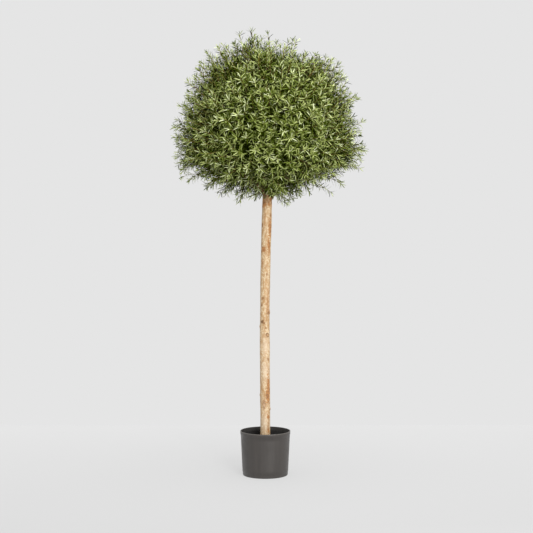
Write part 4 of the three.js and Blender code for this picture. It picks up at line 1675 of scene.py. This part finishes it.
@dataclass
class Leaves:
    """All leaves of the crown, set in crossed pairs along every shoot with a rosette at its tip.

    A field named for layers has a value for each, from the outermost in.
    """

    pole: Pole
    shoots: Limbs
    layer: Array
    masses: list[str]
    seed: int = 8
    pairs: int = 7
    top_leaves: int = 4
    blade_length: float = 25 * MM
    blade_width: float = 3.0 * MM

    # Where leaves sit along a shoot, how they turn and lean (in degrees), and their scatter.
    pairs_from: float = 0.28
    pairs_over: float = 0.64
    tops_from: float = 0.955
    least_along: float = 0.05
    along_scatter: float = 0.012
    turn_scatter: float = 0.22
    pair_lean: float = 60
    pair_lean_fall: float = 16
    top_lean: Span = (45, 16)
    lean_scatter: float = 8
    roll_scatter: float = 0.3

    # How long and how wide leaves are beside the plain blade.
    layer_size: Triple = (1.0, 1.05, 1.25)
    pair_size_fall: float = 0.08
    longest_pair: float = 0.9
    top_size: Span = (0.86, 0.66)
    top_width: float = 0.85
    length_least: float = 0.9
    length_spread: float = 0.22
    width_least: float = 0.92
    width_spread: float = 0.16
    bend: float = 0.2
    bend_scatter: float = 0.1

    # The blade's two stations: their place, their share of the width, and the channel's depth.
    stations: Span = (0.32, 0.76)
    station_widths: Span = (1.0, 0.84)
    channel: float = 0.16
    pole_gap: float = 1 * MM

    # The chance of each tint for a spray, by layer, and of a younger rosette at its tip.
    # The darker tints dealt to the inner layers are painted shade. The paler young rosettes are the
    # tips' own colour, but their chance falls inward, which adds to that painted shade.
    chances: tuple[tuple[float, ...], ...] = (
        (0.00, 0.00, 0.70, 0.30, 0.00, 0.00),
        (0.00, 0.40, 0.55, 0.05, 0.00, 0.00),
        (0.55, 0.45, 0.00, 0.00, 0.00, 0.00),
    )
    younger_tops: Triple = (0.9, 0.5, 0.1)
    uneven: tuple[float, ...] = (0.19, 0.21, 0.2, 0.24, 0.16)

    def __post_init__(self) -> None:
        """Places every leaf: its root, its direction, its upper side, its size and its tint."""
        random = np.random.default_rng(self.seed)
        pairs, tops = self.pairs, self.top_leaves
        count = len(self.shoots)
        shape = (count, 2 * pairs + tops)
        step = np.repeat(np.arange(pairs), 2) / (pairs - 1)
        top_places = np.linspace(self.tops_from, 1.0, tops)
        along = np.append(self.pairs_from + self.pairs_over * step, top_places)
        along = along + self.along_scatter * random.standard_normal(shape)
        shares = np.clip(along, self.least_along, 1.0)
        pair_turn = np.repeat(np.arange(pairs), 2) * np.pi / 2 + np.tile([0, np.pi], pairs)
        turns = np.append(pair_turn, np.pi / 4 + spread_round(tops))
        turns = turns + self.turn_scatter * random.standard_normal(shape)
        turns += FULL_TURN * random.random((count, 1))
        pair_lean = self.pair_lean - self.pair_lean_fall * step
        lean = np.radians(np.append(pair_lean, np.linspace(*self.top_lean, tops)))
        lean = lean + np.radians(self.lean_scatter) * random.standard_normal(shape)
        pair_size = 1.0 - self.pair_size_fall * np.abs(2 * step - self.longest_pair)
        size = np.append(pair_size, np.linspace(*self.top_size, tops))
        aged = np.array(self.layer_size)[self.layer][:, None]
        scale = self.length_least + self.length_spread * random.random(shape)
        self.length = self.blade_length * size * aged * scale
        forward, beside, across = self.shoots.frames(shares)
        outward = np.cos(turns)[..., None] * beside + np.sin(turns)[..., None] * across
        cosine, sine = np.cos(lean)[..., None], np.sin(lean)[..., None]
        self.heading = cosine * forward + sine * outward
        upper = sine * forward - cosine * outward
        roll = (self.roll_scatter * random.standard_normal(shape))[..., None]
        self.upper = np.cos(roll) * upper + np.sin(roll) * np.cross(self.heading, upper)
        scale = self.width_least + self.width_spread * random.random(shape)
        self.width = self.blade_width * aged**2 * scale
        self.width[:, 2 * pairs :] *= self.top_width
        self.bends = self.bend + self.bend_scatter * random.standard_normal(shape)
        self.root = self.shoots.points(shares)
        tips = self.root + self.heading * self.length[..., None]
        self.shown = np.all(self.pole.clear(np.stack([self.root, tips]), self.pole_gap), axis=0)
        self.tint = self.deal(random, shape)

    def deal(self, random: Random, shape: tuple[int, int]) -> Array:
        """Deals a tint to each spray: darker ones inside, paler ones to the rosettes at the tips.

        Args:
            random: The leaves' seeded numbers.
            shape: How many shoots there are, and how many leaves each has.

        Returns:
            The number of each leaf's tint. Leaves differ from their spray by up to two tints, and
            those of the lower pairs are one darker, as painted shade.
        """
        # Painted shade: inner layers draw darker tints, and the lower leaves of each shoot are one
        # darker.
        bounds = np.cumsum(np.array(self.chances), axis=1)[self.layer]
        drawn = random.random((shape[0], 1))
        palest = len(Tint) - 1
        spray = np.minimum(np.sum(drawn > bounds, axis=1), palest)
        tints = np.repeat(spray[:, None], shape[1], axis=1)
        younger = random.random(shape[0]) < np.array(self.younger_tops)[self.layer]
        tops = slice(2 * self.pairs, None)
        tints[:, tops] = np.minimum(tints[:, tops] + younger[:, None], palest)
        uneven = random.choice([-2, -1, 0, 1, 2], size=shape, p=self.uneven)
        return np.clip(tints + uneven - (np.arange(shape[1]) < self.pairs), 0, palest)

    def surface(self, tint: Tint) -> Surface:
        """The leaves of one tint as one open mesh of eight faces each.

        Args:
            tint: Which leaves to take.

        Returns:
            The blades. A leaf's midrib runs from its root along its heading and bends back by the
            square of the distance. Two stations along it have an edge point on either side, raised
            so that the blade is a shallow channel, and both ends are points.
        """
        chosen = self.shown & (self.tint == list(Tint).index(tint))
        root, heading, upper = self.root[chosen], self.heading[chosen], self.upper[chosen]
        length, width, bend = self.length[chosen], self.width[chosen], self.bends[chosen]
        side = np.cross(upper, heading)

        def midrib(share: float) -> Array:
            """The midrib's points at one share of the length."""
            drop = (length * bend * share**2)[:, None] * upper
            return root + (length * share)[:, None] * heading - drop

        columns = [root]
        for share, part in zip(self.stations, self.station_widths):
            half = (0.5 * part * width)[:, None] * side
            rise = (self.channel * part * width)[:, None] * upper
            columns += [midrib(share) + half + rise, midrib(share), midrib(share) - half + rise]
        columns.append(midrib(1.0))
        faces = np.array([
            [0, 2, 1], [0, 3, 2], [1, 2, 5], [1, 5, 4], [2, 3, 6], [2, 6, 5], [4, 5, 7], [5, 6, 7],
        ])
        first = len(columns) * np.arange(len(root))[:, None, None]
        return Surface(np.stack(columns, axis=1).reshape(-1, 3), [(first + faces).reshape(-1, 3)])

    def build(self) -> None:
        """Dresses the leaves, each tint apart."""
        for tint in Tint:
            title, dye = tint.name.lower(), tint.value
            finish = MouldedLeaf(f"moulded_leaf_{title}", dye.roughness, specular=dye.specular,
                                 colour=dye.colour)
            dressed(self.surface(tint), f"leaves_{title}", finish, self.masses,
                    smooth=False)


# ---- Studio ----


@dataclass(frozen=True)
class Lamp:
    """A square soft light: its name, its place, its width in metres and its power in watts."""

    name: str
    place: Triple
    size: float
    power: float


@dataclass
class Studio:
    """The pale floor, the soft lights and the camera."""

    crown_centre: Array
    floor_half_width: float = 3.0
    floor_front: float = -3.5
    floor_back: float = 1.0
    surround: str = "#e5e5e5"
    eye: Triple = (0.004, -5.0, 1.01)
    tilt: float = 86.5
    lens: float = 101.0
    lamps: tuple[Lamp, ...] = (
        Lamp("key_light", (1.1, -3.5, 2.15), 1.1, 117.0),
        Lamp("top_light", (0.3, -0.6, 3.4), 2.2, 56.0),
        Lamp("low_light", (1.5, -2.4, 0.3), 1.0, 13.0),
    )

    def floor(self) -> None:
        """Lays the floor: one level sheet, a grid of one cell."""
        half, front, back = self.floor_half_width, self.floor_front, self.floor_back
        corners = np.array([[-half, front, 0], [half, front, 0], [half, back, 0], [-half, back, 0]])
        sheet = Surface(corners, [np.array([[0, 1, 2, 3]])]).made("studio_floor")
        sheet.data.materials.append(StudioPaper().material())

    def light(self, lamp: Lamp) -> None:
        """Hangs a soft light that faces the crown.

        Args:
            lamp: The light to hang.
        """
        bulb = bpy.data.lights.new(lamp.name, "AREA")
        bulb.energy = lamp.power
        bulb.size = lamp.size
        holder = bpy.data.objects.new(lamp.name, bulb)
        holder.location = lamp.place
        aim = Vector(tuple(self.crown_centre)) - Vector(lamp.place)
        holder.rotation_euler = aim.to_track_quat("-Z", "Y").to_euler()
        bpy.context.scene.collection.objects.link(holder)

    def camera(self) -> None:
        """Sets the camera up in front, level with the pole's head and looking slightly down."""
        lens = bpy.data.cameras.new("camera")
        lens.lens = self.lens
        eye = bpy.data.objects.new("camera", lens)
        eye.location = self.eye
        eye.rotation_euler = (np.radians(self.tilt), 0, 0)
        bpy.context.scene.collection.objects.link(eye)
        bpy.context.scene.camera = eye

    def build(self) -> None:
        """Puts up the whole studio, with an even pale surround."""
        world = bpy.data.worlds.new("surround")
        world.use_nodes = True
        world.node_tree.nodes["Background"].inputs["Color"].default_value = linear(self.surround)
        bpy.context.scene.world = world
        bpy.context.scene.view_settings.view_transform = "Standard"
        self.floor()
        for lamp in self.lamps:
            self.light(lamp)
        self.camera()
        log.info("studio: floor, surround, %d lights and a camera", len(self.lamps))


def main() -> None:
    """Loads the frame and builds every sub-assembly in order."""
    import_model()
    _, pot_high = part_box("pot")
    fill_low, fill_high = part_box("pot_fill")
    pole_low, pole_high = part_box("trunk")

    pot = Pot(height=pot_high.z, rim_radius=pot_high.x)
    pot.build()
    Filler(pot, top=fill_high.z, bottom=fill_low.z).build()
    pole = Pole(foot_level=pole_low.z, head_level=pole_high.z, straight_level=pot_high.z)
    pole.build()
    middle = np.array([pole.lean, pole.lean_back, pole.head_level + CROWN_ABOVE_HEAD])
    crown = CrownShape(middle)
    boughs = Boughs(pole, crown)
    boughs.plan()
    boughs.build()
    Foliage(pole, crown, boughs).build()
    Studio(crown.centre).build()


if __name__ == "__main__":
    logging.basicConfig(level=logging.INFO, format="%(name)s: %(message)s")
    main()
